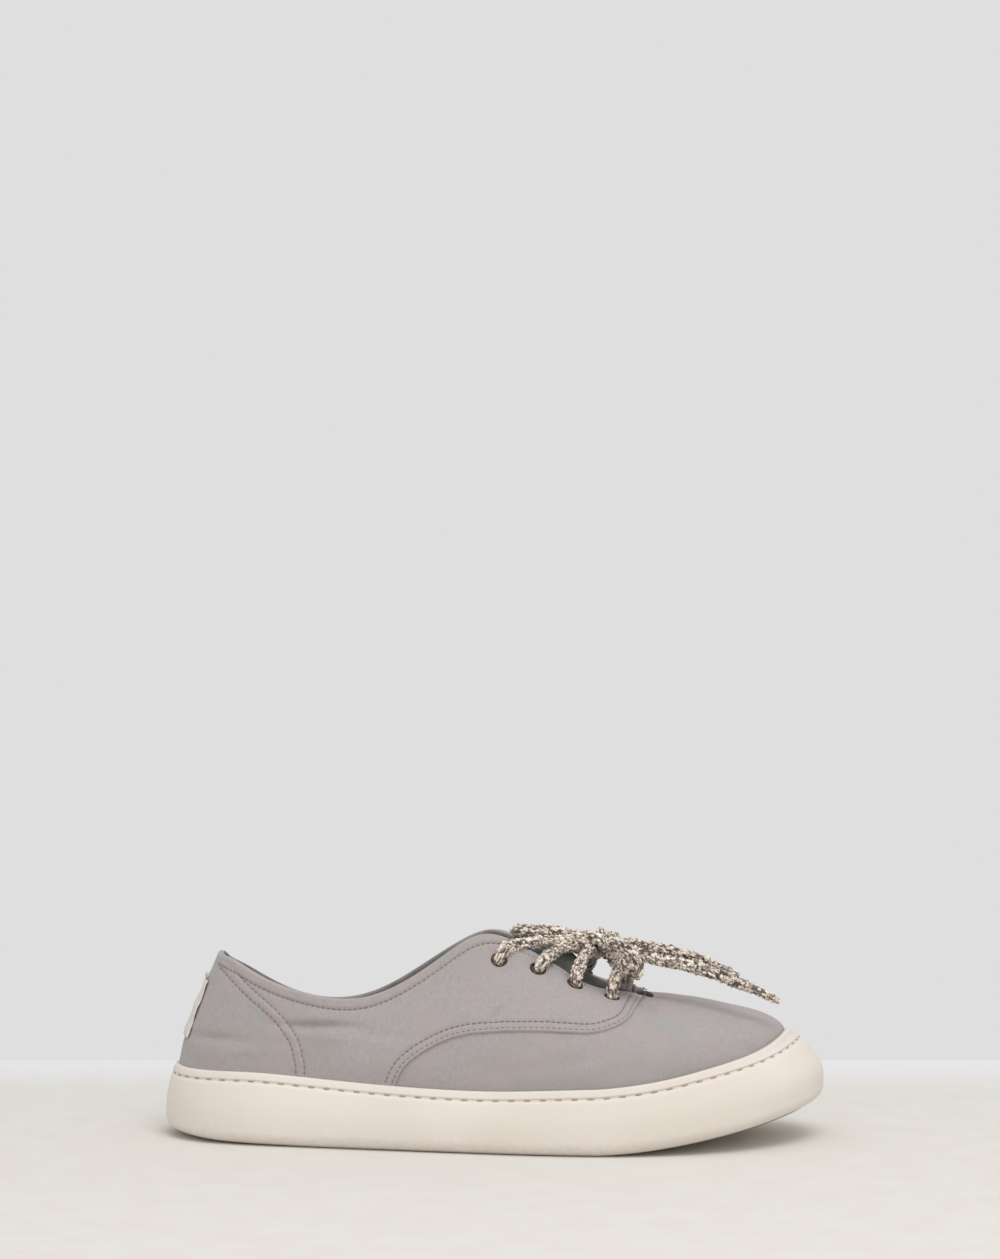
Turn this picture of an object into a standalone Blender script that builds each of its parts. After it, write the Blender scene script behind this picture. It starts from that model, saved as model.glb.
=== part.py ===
"""A right barefoot shoe: a low canvas upper on a stitched rubber cup sole, laced through eight eyelets.

The toe points along +X, the outer side of the foot faces -Y, and the sole stands on Z = 0.
"""

import math

import bmesh
import bpy
import numpy as np
from mathutils import Matrix, Vector

# Sole
SOLE_LENGTH = 0.264
BALL_WIDTH = 0.102
WALL_HEIGHT = 0.027
SOLE_FLOOR = 0.0065
TOE_SPRING = 0.015
HEEL_LIFT = 0.0012
EDGE_ROUND = 0.0055
RIM_LEAN = 0.0035
TOE_LEAN = 0.0130
LIP_WIDTH = 0.0027
LIP_ROUND = 0.0008
CHANNEL_DROP = 0.0034
CHANNEL_WIDTH = 0.0016
CHANNEL_DEPTH = 0.0007
TREAD_PITCH = 0.0135
TREAD_WIDTH = 0.0022
TREAD_DEPTH = 0.0012
TREAD_MARGIN = 0.010
TREAD_BOW = 0.010

# Upper, its heights above the floor
HEEL_HEIGHT = 0.0728
COLLAR_HEIGHT = 0.0580
INSTEP_HEIGHT = 0.0832
VAMP_HEIGHT = 0.0570
COLLAR_WIDTH = 0.0570
THROAT_WIDTH = 0.0240
MEDIAL_DROP = 0.0050
CANVAS = 0.0018
QUARTER_STEP = 0.0008
COUNTER_STEP = 0.0005
THROAT_CROWN = 0.0012

# Inside and trim
GAP = 0.0003
INSOLE_THICKNESS = 0.0040
TONGUE_THICKNESS = 0.0026
TONGUE_WING = 0.0150
LABEL_WIDTH = 0.0250
LABEL_HEIGHT = 0.0250
LABEL_THICKNESS = 0.0011
EYELET_COUNT = 4
EYELET_FIRST = 0.0100
EYELET_PITCH = 0.0157
EYELET_MARGIN = 0.0118
EYELET_BORE = 0.0042
EYELET_FLANGE = 0.0074
EYELET_METAL = 0.0005

# Lace
LACE_DIAMETER = 0.0052
KNOT_CENTRE = Vector((0.0442, 0.0005, 0.0755))
KNOT_SIZE = Vector((0.0190, 0.0160, 0.0136))

# Rows run round the shoe: heel, outer side, toe, inner side. Along and across are the sole's widest
# line, as shares of its length and of the ball width. Rim is the wall's height as a share of
# WALL_HEIGHT, and lean is 0 where the rim leans in by RIM_LEAN and 1 where it does by TOE_LEAN.
SOLE_ROUND = [
    (0.000, 0.000, 1.00, 0.00),
    (0.020, -0.165, 1.01, 0.00),
    (0.074, -0.285, 1.04, 0.00),
    (0.150, -0.345, 1.05, 0.00),
    (0.235, -0.380, 1.00, 0.00),
    (0.325, -0.415, 0.94, 0.00),
    (0.415, -0.450, 0.90, 0.00),
    (0.505, -0.483, 0.89, 0.00),
    (0.592, -0.505, 0.92, 0.00),
    (0.678, -0.508, 0.95, 0.00),
    (0.760, -0.480, 0.97, 0.02),
    (0.838, -0.415, 1.00, 0.15),
    (0.908, -0.310, 1.00, 0.45),
    (0.963, -0.165, 1.01, 0.80),
    (0.994, 0.000, 1.02, 1.00),
    (0.996, 0.150, 1.02, 0.95),
    (0.962, 0.290, 1.01, 0.70),
    (0.890, 0.400, 1.00, 0.35),
    (0.802, 0.458, 0.99, 0.10),
    (0.710, 0.470, 0.96, 0.00),
    (0.615, 0.440, 0.93, 0.00),
    (0.520, 0.392, 0.92, 0.00),
    (0.425, 0.355, 0.93, 0.00),
    (0.330, 0.342, 0.96, 0.00),
    (0.237, 0.345, 1.00, 0.00),
    (0.150, 0.330, 1.04, 0.00),
    (0.074, 0.275, 1.04, 0.00),
    (0.020, 0.160, 1.01, 0.00),
]

# The collar and throat edge, in rows that match the sole's. Along is a share of SOLE_LENGTH, across of
# half of COLLAR_WIDTH, and height goes from the first named height (0) to the second (1).
TOP_ROUND = [
    (0.0790, 0.00, COLLAR_HEIGHT, HEEL_HEIGHT, 1.00),
    (0.0880, -0.36, COLLAR_HEIGHT, HEEL_HEIGHT, 0.97),
    (0.1150, -0.64, COLLAR_HEIGHT, HEEL_HEIGHT, 0.85),
    (0.1630, -0.86, COLLAR_HEIGHT, HEEL_HEIGHT, 0.47),
    (0.2320, -0.98, COLLAR_HEIGHT, HEEL_HEIGHT, 0.03),
    (0.3120, -0.98, COLLAR_HEIGHT, INSTEP_HEIGHT, 0.03),
    (0.3950, -0.87, COLLAR_HEIGHT, INSTEP_HEIGHT, 0.44),
    (0.4700, -0.70, COLLAR_HEIGHT, INSTEP_HEIGHT, 0.965),
    (0.5240, -0.54, COLLAR_HEIGHT, INSTEP_HEIGHT, 0.87),
    (0.5850, -0.44, VAMP_HEIGHT, INSTEP_HEIGHT, 0.52),
    (0.6450, -0.39, VAMP_HEIGHT, INSTEP_HEIGHT, 0.15),
    (0.7000, -0.35, VAMP_HEIGHT, INSTEP_HEIGHT, 0.04),
    (0.7260, -0.26, VAMP_HEIGHT, INSTEP_HEIGHT, 0.02),
    (0.7340, -0.12, VAMP_HEIGHT, INSTEP_HEIGHT, 0.00),
    (0.7355, 0.02, VAMP_HEIGHT, INSTEP_HEIGHT, 0.00),
    (0.7340, 0.16, VAMP_HEIGHT, INSTEP_HEIGHT, 0.00),
    (0.7260, 0.30, VAMP_HEIGHT, INSTEP_HEIGHT, 0.02),
    (0.7000, 0.39, VAMP_HEIGHT, INSTEP_HEIGHT, 0.04),
    (0.6450, 0.43, VAMP_HEIGHT, INSTEP_HEIGHT, 0.15),
    (0.5850, 0.47, VAMP_HEIGHT, INSTEP_HEIGHT, 0.52),
    (0.5240, 0.56, COLLAR_HEIGHT, INSTEP_HEIGHT, 0.87),
    (0.4700, 0.70, COLLAR_HEIGHT, INSTEP_HEIGHT, 0.965),
    (0.3950, 0.86, COLLAR_HEIGHT, INSTEP_HEIGHT, 0.42),
    (0.3120, 0.96, COLLAR_HEIGHT, INSTEP_HEIGHT, 0.02),
    (0.2320, 0.97, COLLAR_HEIGHT, HEEL_HEIGHT, 0.02),
    (0.1630, 0.86, COLLAR_HEIGHT, HEEL_HEIGHT, 0.27),
    (0.1150, 0.64, COLLAR_HEIGHT, HEEL_HEIGHT, 0.80),
    (0.0880, 0.36, COLLAR_HEIGHT, HEEL_HEIGHT, 0.97),
]

# How full the canvas is between rim and edge, in the same rows. Rise and drop are shares of the height
# between them, run is a share of the way across, and swell leans the canvas out, times UPPER_SWELL.
UPPER_SWELL = 0.0030
FULLNESS = [
    (0.35, -0.8, 0.40, 0.38),
    (0.35, -0.5, 0.40, 0.38),
    (0.35, 0.1, 0.35, 0.36),
    (0.35, 0.3, 0.30, 0.36),
    (0.35, 0.4, 0.30, 0.36),
    (0.37, 0.4, 0.30, 0.36),
    (0.40, 0.3, 0.33, 0.38),
    (0.42, 0.3, 0.36, 0.38),
    (0.44, 0.3, 0.42, 0.34),
    (0.46, 0.3, 0.46, 0.26),
    (0.52, 0.3, 0.50, 0.20),
    (0.58, 0.2, 0.52, 0.17),
    (0.54, -0.1, 0.52, 0.19),
    (0.44, -0.6, 0.51, 0.23),
    (0.38, -0.9, 0.50, 0.25),
    (0.42, -0.7, 0.51, 0.23),
    (0.54, -0.2, 0.52, 0.19),
    (0.60, 0.2, 0.52, 0.16),
    (0.56, 0.3, 0.50, 0.18),
    (0.50, 0.3, 0.46, 0.24),
    (0.46, 0.2, 0.42, 0.32),
    (0.42, 0.1, 0.36, 0.36),
    (0.40, 0.1, 0.33, 0.36),
    (0.37, 0.2, 0.30, 0.36),
    (0.35, 0.3, 0.30, 0.36),
    (0.35, 0.3, 0.30, 0.36),
    (0.35, 0.1, 0.35, 0.36),
    (0.35, -0.5, 0.40, 0.38),
]

# The quarter's lapped front edge from the side, as shares of SOLE_LENGTH and VAMP_HEIGHT.
QUARTER_EDGE = [
    (0.352, 0.25),
    (0.366, 0.485),
    (0.384, 0.575),
    (0.410, 0.66),
    (0.445, 0.735),
    (0.487, 0.785),
    (0.530, 0.81),
    (0.587, 0.812),
    (0.631, 0.80),
    (0.662, 0.805),
    (0.692, 0.84),
    (0.710, 0.89),
    (0.719, 0.95),
    (0.723, 1.00),
    (0.725, 1.20),
]

# The heel counter's front edge from the side, in the same shares.
COUNTER_EDGE = [
    (0.228, 0.25),
    (0.226, 0.50),
    (0.225, 0.64),
    (0.216, 0.73),
    (0.196, 0.82),
    (0.168, 0.935),
    (0.139, 1.06),
    (0.118, 1.20),
]

STATION_COUNT = len(SOLE_ROUND)
TOE = STATION_COUNT / 2
COLUMNS = 72
THROAT_START = 7.5
SPRING_START = 0.66
HEEL_LIFT_END = 0.12


def finish(name, colour, roughness, metallic=0.0):
    material = bpy.data.materials.new(name)
    material.use_nodes = True
    shader = material.node_tree.nodes["Principled BSDF"]
    shader.inputs["Base Color"].default_value = (*colour, 1.0)
    shader.inputs["Roughness"].default_value = roughness
    shader.inputs["Metallic"].default_value = metallic
    material.diffuse_color = (*colour, 1.0)
    return material


def closed_spline(rows, stations):
    """Values at the stations on the smooth closed curve through the rows, one station to a row."""
    rows = np.asarray(rows, float)
    count = len(rows)
    near = np.eye(count)
    system = 4 * near + np.roll(near, 1, axis=1) + np.roll(near, -1, axis=1)
    bend = np.linalg.solve(system, 6 * (np.roll(rows, 1, 0) - 2 * rows + np.roll(rows, -1, 0)))
    stations = np.mod(stations, count)
    left = np.floor(stations).astype(int) % count
    right = (left + 1) % count
    after = (stations - np.floor(stations))[..., None]
    before = 1 - after
    straight = before * rows[left] + after * rows[right]
    curved = (before**3 - before) * bend[left] + (after**3 - after) * bend[right]
    return straight + curved / 6


def top_rows():
    """The topline's rows in metres; the inner side of the collar is cut lower than the outer side."""
    rows = []
    for along, across, low, high, share in TOP_ROUND:
        height = low + (high - low) * share
        if across > 0:
            collar = math.exp(-(((along - 0.31) / 0.20) ** 4))
            height -= MEDIAL_DROP * collar
        width = COLLAR_WIDTH if along < 0.5 else COLLAR_WIDTH * (1 - throat_share(along))
        width += THROAT_WIDTH / 0.42 * throat_share(along) if along >= 0.5 else 0
        rows.append((along * SOLE_LENGTH, across * width / 2, height))
    return rows


def throat_share(along):
    """0 on the collar and 1 from the middle of the throat on, where THROAT_WIDTH rules the edge."""
    return min(1.0, max(0.0, (along - 0.47) / 0.11))


def bottom_height(along):
    """Height of the sole's underside: flat, with a toe spring and a slight lift behind the heel."""
    share = along / SOLE_LENGTH
    spring = np.clip((share - SPRING_START) / (1 - SPRING_START), 0, 1.02) ** 1.5
    lift = np.clip((HEEL_LIFT_END - share) / HEEL_LIFT_END, 0, 1) ** 2
    return TOE_SPRING * spring + HEEL_LIFT * lift


def sole_line(stations):
    """The sole's widest line: points, outward directions, rim height above the underside, and lean."""
    step = 0.02
    rows = np.array(SOLE_ROUND) * (SOLE_LENGTH, BALL_WIDTH, WALL_HEIGHT, 1)
    here = closed_spline(rows, stations)
    way = closed_spline(rows, stations + step)[..., :2] - closed_spline(rows, stations - step)[..., :2]
    out = np.stack([way[..., 1], -way[..., 0]], axis=-1)
    out /= np.linalg.norm(out, axis=-1, keepdims=True)
    lean = RIM_LEAN + (TOE_LEAN - RIM_LEAN) * np.clip(here[..., 3], 0, 1)
    return here[..., :2], out, here[..., 2], lean


def flat_point(plan, height):
    return np.concatenate([plan, np.asarray(height)[..., None]], axis=-1)


def rim(stations):
    """Where canvas meets lip, the outward direction, and how far the cup reaches down from there."""
    plan, out, wall, lean = sole_line(stations)
    plan = plan - out * (lean + LIP_WIDTH)[..., None]
    height = bottom_height(sole_line(stations)[0][..., 0]) + wall
    flare = 0.35 * (lean - RIM_LEAN)
    foot = plan + out * flare[..., None]
    depth = height - (bottom_height(foot[..., 0]) + SOLE_FLOOR + GAP)
    return flat_point(plan, height), flat_point(out, 0 * height), depth, flare


def last(stations, levels):
    """The outside of the upper. Level -1 is the cup's floor, 0 the rim, 1 the topline, and 2 the middle
    of the throat, where the closed form of the foot runs on under the laces."""
    stations, levels = np.broadcast_arrays(np.asarray(stations, float), np.asarray(levels, float))
    low, out, depth, flare = rim(stations)
    down = np.clip(-levels, 0, 1)[..., None]
    skirt = low + out * down * flare[..., None] - down * depth[..., None] * (0, 0, 1)

    top_table = np.array(top_rows())
    top = closed_spline(top_table, stations)
    full = closed_spline(FULLNESS, stations)
    rise = (top - low)[..., 2:]
    back = (low - top) * (1, 1, 0)
    up = np.array((0.0, 0.0, 1.0))
    first = low + up * full[..., :1] * rise + out * full[..., 1:2] * UPPER_SWELL
    second = top + back * full[..., 2:3] - up * full[..., 3:4] * rise
    t = np.clip(levels, 0, 1)[..., None]
    s = 1 - t
    side = s**3 * low + 3 * s**2 * t * first + 3 * s * t**2 * second + t**3 * top

    other = closed_spline(top_table, STATION_COUNT - stations)
    middle = (top + other) / 2
    near_toe = np.clip(1 - np.abs(stations - TOE) / 4, 0, 1)[..., None]
    middle = middle - near_toe**2 * 0.035 * SOLE_LENGTH * np.array((1, 0, 0)) + up * THROAT_CROWN
    knee = (top + middle) / 2
    knee[..., 2] = middle[..., 2]
    t = np.clip(levels - 1, 0, 1)[..., None]
    s = 1 - t
    throat = s**2 * top + 2 * s * t * knee + t**2 * middle

    form = np.where(levels[..., None] < 0, skirt, np.where(levels[..., None] > 1, throat, side))
    return form - frame_middle()


def frame_middle():
    """The middle of the sole's outline, which is put on the Z axis."""
    plan = sole_line(np.linspace(0, STATION_COUNT, 16 * STATION_COUNT, endpoint=False))[0]
    return flat_point((plan.min(axis=0) + plan.max(axis=0)) / 2, 0.0)


def skin(stations, levels, lift):
    """Points off the last along its outward normal; a negative lift goes into the shoe."""
    stations, levels = np.broadcast_arrays(np.asarray(stations, float), np.asarray(levels, float))
    step = 0.02
    across = last(stations + step, levels) - last(stations - step, levels)
    upward = last(stations, np.minimum(levels + step, 2)) - last(stations, np.maximum(levels - step, -1))
    normal = np.cross(across, upward)
    length = np.linalg.norm(normal, axis=-1, keepdims=True)
    normal = np.where(length > 1e-12, normal / np.maximum(length, 1e-12), (0.0, 0.0, 1.0))
    return last(stations, levels) + normal * np.asarray(lift)[..., None]


def level_below_edge(station, distance):
    """The level that lies the distance down the canvas from the topline."""
    levels = np.linspace(1, 0, 201)
    run = np.linalg.norm(np.diff(last(station, levels), axis=0), axis=1).cumsum()
    return float(np.interp(distance, run, levels[1:]))


def station_along_throat(distance):
    """The station that lies the distance from the throat's top corner, on the line of the eyelets."""
    stations = np.linspace(THROAT_START - 0.5, TOE - 2, 101)
    levels = [level_below_edge(station, EYELET_MARGIN) for station in stations]
    run = np.linalg.norm(np.diff(last(stations, np.array(levels)), axis=0), axis=1).cumsum()
    return float(np.interp(distance, run, stations[1:]))


def solid(name, points, faces, material):
    """A closed mesh object, its faces turned outward and its round surfaces shaded smooth."""
    mesh = bpy.data.meshes.new(name)
    made = bmesh.new()
    corners = [made.verts.new(point) for point in points]
    for face in faces:
        made.faces.new([corners[index] for index in face])
    bmesh.ops.remove_doubles(made, verts=made.verts, dist=1e-7)
    bmesh.ops.recalc_face_normals(made, faces=made.faces)
    made.to_mesh(mesh)
    made.free()
    mesh.materials.append(material)
    mesh.shade_smooth()
    mesh.set_sharp_from_angle(angle=math.radians(40))
    shape = bpy.data.objects.new(name, mesh)
    bpy.context.scene.collection.objects.link(shape)
    return shape


def loft(name, rings, material, joined):
    """A solid through closed rings. Its ends meet each other, or each is closed by strips across."""
    count = len(rings[0])
    faces = []
    for row in range(len(rings) if joined else len(rings) - 1):
        here = row * count
        after = (row + 1) % len(rings) * count
        for column in range(count):
            beside = (column + 1) % count
            faces.append((here + column, here + beside, after + beside, after + column))
    if not joined:
        for start in (0, (len(rings) - 1) * count):
            for column in range(count // 2):
                strip = {column, column + 1, count - column - 1, (count - column) % count}
                faces.append([start + index for index in sorted(strip)])
    return solid(name, np.concatenate(rings), faces, material)


def patch(name, outer, inner, material, last_row_open=True):
    """A sheet between two grids of points, closed along its edges."""
    rows, columns = outer.shape[:2]
    index = np.arange(rows * columns).reshape(rows, columns)
    under = index + rows * columns
    faces = []
    for sheet in (index, under):
        for row in range(rows - 1):
            for column in range(columns - 1):
                faces.append((
                    sheet[row, column],
                    sheet[row, column + 1],
                    sheet[row + 1, column + 1],
                    sheet[row + 1, column],
                ))
    edges = [index[0], index[:, 0], index[:, -1]]
    edges_under = [under[0], under[:, 0], under[:, -1]]
    if last_row_open:
        edges.append(index[-1])
        edges_under.append(under[-1])
    for edge, below in zip(edges, edges_under):
        for i in range(len(edge) - 1):
            faces.append((edge[i], edge[i + 1], below[i + 1], below[i]))
    points = np.concatenate([outer.reshape(-1, 3), inner.reshape(-1, 3)])
    return solid(name, points, faces, material)


def cut(shape, other, operation, solver="EXACT"):
    """Cuts, joins or keeps what is common with a helper, which isn't shown itself."""
    change = shape.modifiers.new(other.name, "BOOLEAN")
    change.operation = operation
    change.solver = solver
    change.object = other
    other.hide_render = True
    other.display_type = "WIRE"


def columns():
    return np.arange(COLUMNS) * STATION_COUNT / COLUMNS


def side_profile(edge, name, material):
    """A block behind an edge drawn from the side, right through the shoe."""
    drawn = np.array(edge) * (SOLE_LENGTH, VAMP_HEIGHT)
    behind = -0.1 * SOLE_LENGTH
    top = 2 * INSTEP_HEIGHT
    outline = [(x, z) for x, z in drawn]
    outline += [(drawn[-1][0], top), (behind, top), (behind, drawn[0][1])]
    middle = frame_middle()
    points = [(x - middle[0], side * BALL_WIDTH, z) for side in (-1, 1) for x, z in outline]
    count = len(outline)
    faces = [tuple(range(count)), tuple(range(count, 2 * count))]
    faces += [(i, (i + 1) % count, (i + 1) % count + count, i + count) for i in range(count)]
    return solid(name, points, faces, material)


def outsole(material):
    stations = columns()
    plan, out, wall, lean = sole_line(stations)
    low = bottom_height(plan[:, 0])
    middle = frame_middle()

    def ring(inset, height):
        return flat_point(plan - out * np.asarray(inset)[..., None], height) - middle

    rings = []
    for angle in (0, 30, 60, 90):
        turn = math.radians(angle)
        inset = EDGE_ROUND * (1 - math.sin(turn))
        rings.append(ring(inset + 0 * low, low + EDGE_ROUND * (1 - math.cos(turn))))
    straight = wall - EDGE_ROUND

    def wall_ring(below_rim, into=0.0):
        share = 1 - below_rim / straight
        lean_in = lean * np.clip((share - 0.25) / 0.75, 0, 1) ** 1.6
        return ring(lean_in + into, low + wall - below_rim)

    rings.append(wall_ring(straight * 0.55))
    rings.append(wall_ring(straight * 0.32))
    channel = CHANNEL_DROP + CHANNEL_WIDTH / 2
    rings.append(wall_ring(channel))
    rings.append(wall_ring(channel - CHANNEL_WIDTH / 4, CHANNEL_DEPTH))
    rings.append(wall_ring(channel - CHANNEL_WIDTH * 3 / 4, CHANNEL_DEPTH))
    rings.append(wall_ring(channel - CHANNEL_WIDTH))
    rings.append(wall_ring(LIP_ROUND))
    rings.append(ring(lean + LIP_ROUND, low + wall))
    for level in (0, -0.5, -1):
        rings.append(skin(stations, level, GAP))
    floor = skin(stations, -1, GAP)
    floor[:, 2] = bottom_height(floor[:, 0] + middle[0]) + SOLE_FLOOR
    rings.append(floor)
    shape = loft("outsole", rings, material, joined=False)
    cut(shape, tread_cutters(material), "DIFFERENCE")
    return shape


def tread_cutters(material):
    """Bowed grooves across the tread, which stop short of the sole's edge."""
    stations = np.linspace(0, STATION_COUNT, 8 * STATION_COUNT, endpoint=False)
    plan, out, _, _ = sole_line(stations)
    inner = plan - out * (EDGE_ROUND + TREAD_MARGIN)
    middle = frame_middle()
    points = []
    faces = []
    number = int((SOLE_LENGTH - 4 * TREAD_MARGIN - TREAD_BOW) / TREAD_PITCH)
    start = (SOLE_LENGTH - TREAD_BOW - (number - 1) * TREAD_PITCH) / 2
    for groove in range(number):
        along = start + groove * TREAD_PITCH
        near = np.abs(inner[:, 0] - along) < SOLE_LENGTH / STATION_COUNT / 4
        reach = inner[near, 1]
        shares = np.linspace(-1, 1, 7)
        ys = (reach.max() + reach.min()) / 2 + shares * (reach.max() - reach.min()) / 2
        xs = along + TREAD_BOW * (1 - shares**2)
        first = len(points)
        for x, y in zip(xs, ys):
            height = bottom_height(x)
            for side in (-0.5, 0.5):
                for z in (height - 2 * TREAD_DEPTH, height + TREAD_DEPTH):
                    points.append(Vector((x + side * TREAD_WIDTH, y, z)) - Vector(middle))
        for i in range(len(shares) - 1):
            a = first + 4 * i
            b = a + 4
            faces += [(a, a + 1, b + 1, b), (a + 2, a + 3, b + 3, b + 2)]
            faces += [(a, a + 2, b + 2, b), (a + 1, a + 3, b + 3, b + 1)]
        end = first + 4 * (len(shares) - 1)
        faces += [(first, first + 1, first + 3, first + 2), (end, end + 1, end + 3, end + 2)]
    return solid("tread_cutters", points, faces, material)


def insole(material):
    stations = columns()
    middle = frame_middle()
    lower = skin(stations, -0.98, -(CANVAS + 2 * GAP))
    upper = skin(stations, -0.70, -(CANVAS + 2 * GAP))
    floor = bottom_height(lower[:, 0] + middle[0]) + SOLE_FLOOR + GAP
    lower[:, 2] = floor
    upper[:, 2] = bottom_height(upper[:, 0] + middle[0]) + SOLE_FLOOR + GAP + INSOLE_THICKNESS
    return loft("insole", [lower, upper], material, joined=False)


def shell(name, levels, outer, inner, material):
    """A wall all round the shoe between two lifts off the last."""
    rings = [skin(columns(), level, outer) for level in levels]
    rings += [skin(columns(), level, inner) for level in reversed(levels)]
    return loft(name, rings, material, joined=True)


def upper(material, eyelets):
    """The hollow shell with its steps. Its walls lie close together, which needs the other solver."""
    levels = [0.12, 0.26, 0.42, 0.58, 0.74, 0.88]
    shape = shell("upper", [-1, -0.45, 0, *levels, 0.97, 1], 0.0, -CANVAS, material)
    lap = [0.02, *levels, 0.97, 0.988]
    quarter = shell("quarter_wall", lap, QUARTER_STEP, -CANVAS / 2, material)
    cut(quarter, side_profile(QUARTER_EDGE, "quarter_block", material), "INTERSECT", "MANIFOLD")
    cut(shape, quarter, "UNION", "MANIFOLD")
    counter = shell("counter_wall", lap[:-1], QUARTER_STEP + COUNTER_STEP, -CANVAS / 3, material)
    cut(counter, side_profile(COUNTER_EDGE, "counter_block", material), "INTERSECT", "MANIFOLD")
    cut(shape, counter, "UNION", "MANIFOLD")
    holes = bmesh.new()
    for frame in eyelets:
        bmesh.ops.create_cone(
            holes,
            cap_ends=True,
            segments=10,
            radius1=EYELET_BORE / 2 + EYELET_METAL + GAP,
            radius2=EYELET_BORE / 2 + EYELET_METAL + GAP,
            depth=6 * CANVAS,
            matrix=frame,
        )
    mesh = bpy.data.meshes.new("eyelet_holes")
    holes.to_mesh(mesh)
    holes.free()
    cutter = bpy.data.objects.new("eyelet_holes", mesh)
    bpy.context.scene.collection.objects.link(cutter)
    cut(shape, cutter, "DIFFERENCE", "MANIFOLD")
    return shape


def eyelet_frames():
    """Each eyelet's place, its Z axis out of the canvas: the outer row from the top, then the inner."""
    frames = []
    for side in (1, -1):
        for number in range(EYELET_COUNT):
            station = station_along_throat(EYELET_FIRST + number * EYELET_PITCH)
            level = level_below_edge(station, EYELET_MARGIN)
            if side < 0:
                station = STATION_COUNT - station
            place = Vector(skin(station, level, QUARTER_STEP))
            axis = (place - Vector(skin(station, level, -CANVAS))).normalized()
            turn = axis.to_track_quat("Z", "Y").to_matrix().to_4x4()
            frames.append(Matrix.Translation(place) @ turn)
    return frames


def eyelet(name, frame, material):
    """A rolled flange on a short barrel that passes into the canvas."""
    bore = EYELET_BORE / 2
    flange = EYELET_FLANGE / 2
    profile = [
        (bore, -CANVAS),
        (bore + EYELET_METAL, -CANVAS),
        (bore + EYELET_METAL, GAP),
        (flange, GAP),
        (flange, GAP + 0.6 * EYELET_METAL),
        ((bore + flange) / 2, GAP + 2 * EYELET_METAL),
        (bore, GAP + EYELET_METAL),
    ]
    sides = 12
    points = []
    for i in range(sides):
        turn = 2 * math.pi * i / sides
        points += [frame @ Vector((r * math.cos(turn), r * math.sin(turn), z)) for r, z in profile]
    count = len(profile)
    faces = []
    for i in range(sides):
        for j in range(count):
            here = i * count
            after = (i + 1) % sides * count
            beside = (j + 1) % count
            faces.append((here + j, here + beside, after + beside, after + j))
    return solid(name, points, faces, material)


def tongue(material):
    """Laid along the closed form of the foot, under the canvas, its wings tucked behind the eyelets."""
    stations = np.concatenate([np.linspace(THROAT_START + 0.1, TOE - 1.2, 12), [TOE - 0.6, TOE]])
    sheets = []
    for depth in (CANVAS + 2 * GAP, CANVAS + 2 * GAP + TONGUE_THICKNESS):
        rows = []
        for station in stations:
            wing = level_below_edge(station, TONGUE_WING)
            levels = np.concatenate([np.linspace(wing, 1, 3), np.linspace(1.33, 2, 3)])
            outer_side = skin(station, levels, -depth + 0 * levels)
            inner_side = skin(STATION_COUNT - station, levels, -depth + 0 * levels)
            centre = (outer_side[-1] + inner_side[-1]) / 2
            rows.append(np.concatenate([outer_side[:-1], [centre], inner_side[-2::-1]]))
        sheets.append(np.array(rows))
    return patch("tongue", sheets[0], sheets[1], material, last_row_open=False)


def heel_label(material):
    """A woven tape round the back seam, standing a little off the counter."""
    stations = np.linspace(-1, 1, 9) * LABEL_WIDTH / 2 / station_length(0.5)
    high = np.linalg.norm(last(0, 1) - last(0, 0))
    levels = 0.5 + np.linspace(-0.5, 0.5, 6) * LABEL_HEIGHT / high
    lift = QUARTER_STEP + COUNTER_STEP + GAP
    grid = np.meshgrid(stations, levels)
    outer = skin(grid[0], grid[1], lift + LABEL_THICKNESS)
    inner = skin(grid[0], grid[1], lift)
    return patch("heel_label", outer, inner, material)


def station_length(level):
    """Length of canvas to a station, at the back of the heel."""
    around = last(np.array([-0.5, 0.0, 0.5]), level)
    return float(np.linalg.norm(np.diff(around, axis=0), axis=1).sum())


def smooth_route(points, spacing):
    """Evenly spaced points on one smooth curve through the route's own points."""
    points = np.array(points, float)
    count = len(points)
    system = 4 * np.eye(count) + np.eye(count, k=1) + np.eye(count, k=-1)
    system[0, :2] = (1, 0)
    system[-1, -2:] = (0, 1)
    bend = np.zeros((count, 3))
    bend[1:-1] = 6 * (points[:-2] - 2 * points[1:-1] + points[2:])
    bend = np.linalg.solve(system, bend)
    places = np.linspace(0, count - 1, 60 * (count - 1) + 1)
    left = np.minimum(places.astype(int), count - 2)
    after = (places - left)[:, None]
    before = 1 - after
    fine = before * points[left] + after * points[left + 1]
    fine += ((before**3 - before) * bend[left] + (after**3 - after) * bend[left + 1]) / 6
    run = np.concatenate([[0], np.linalg.norm(np.diff(fine, axis=0), axis=1).cumsum()])
    number = max(4, round(run[-1] / spacing) + 1)
    even = np.linspace(0, run[-1], number)
    return np.stack([np.interp(even, run, fine[:, axis]) for axis in range(3)], axis=1)


def cord(name, route, material):
    """A free length of the round lace."""
    curve = bpy.data.curves.new(name, "CURVE")
    curve.dimensions = "3D"
    curve.bevel_depth = LACE_DIAMETER / 2
    curve.bevel_resolution = 2
    curve.use_fill_caps = True
    points = smooth_route(route, 1.2 * LACE_DIAMETER)
    spline = curve.splines.new("POLY")
    spline.points.add(len(points) - 1)
    for place, point in zip(spline.points, points):
        place.co = (*point, 1)
    curve.materials.append(material)
    shape = bpy.data.objects.new(name, curve)
    bpy.context.scene.collection.objects.link(shape)
    return shape


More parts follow.
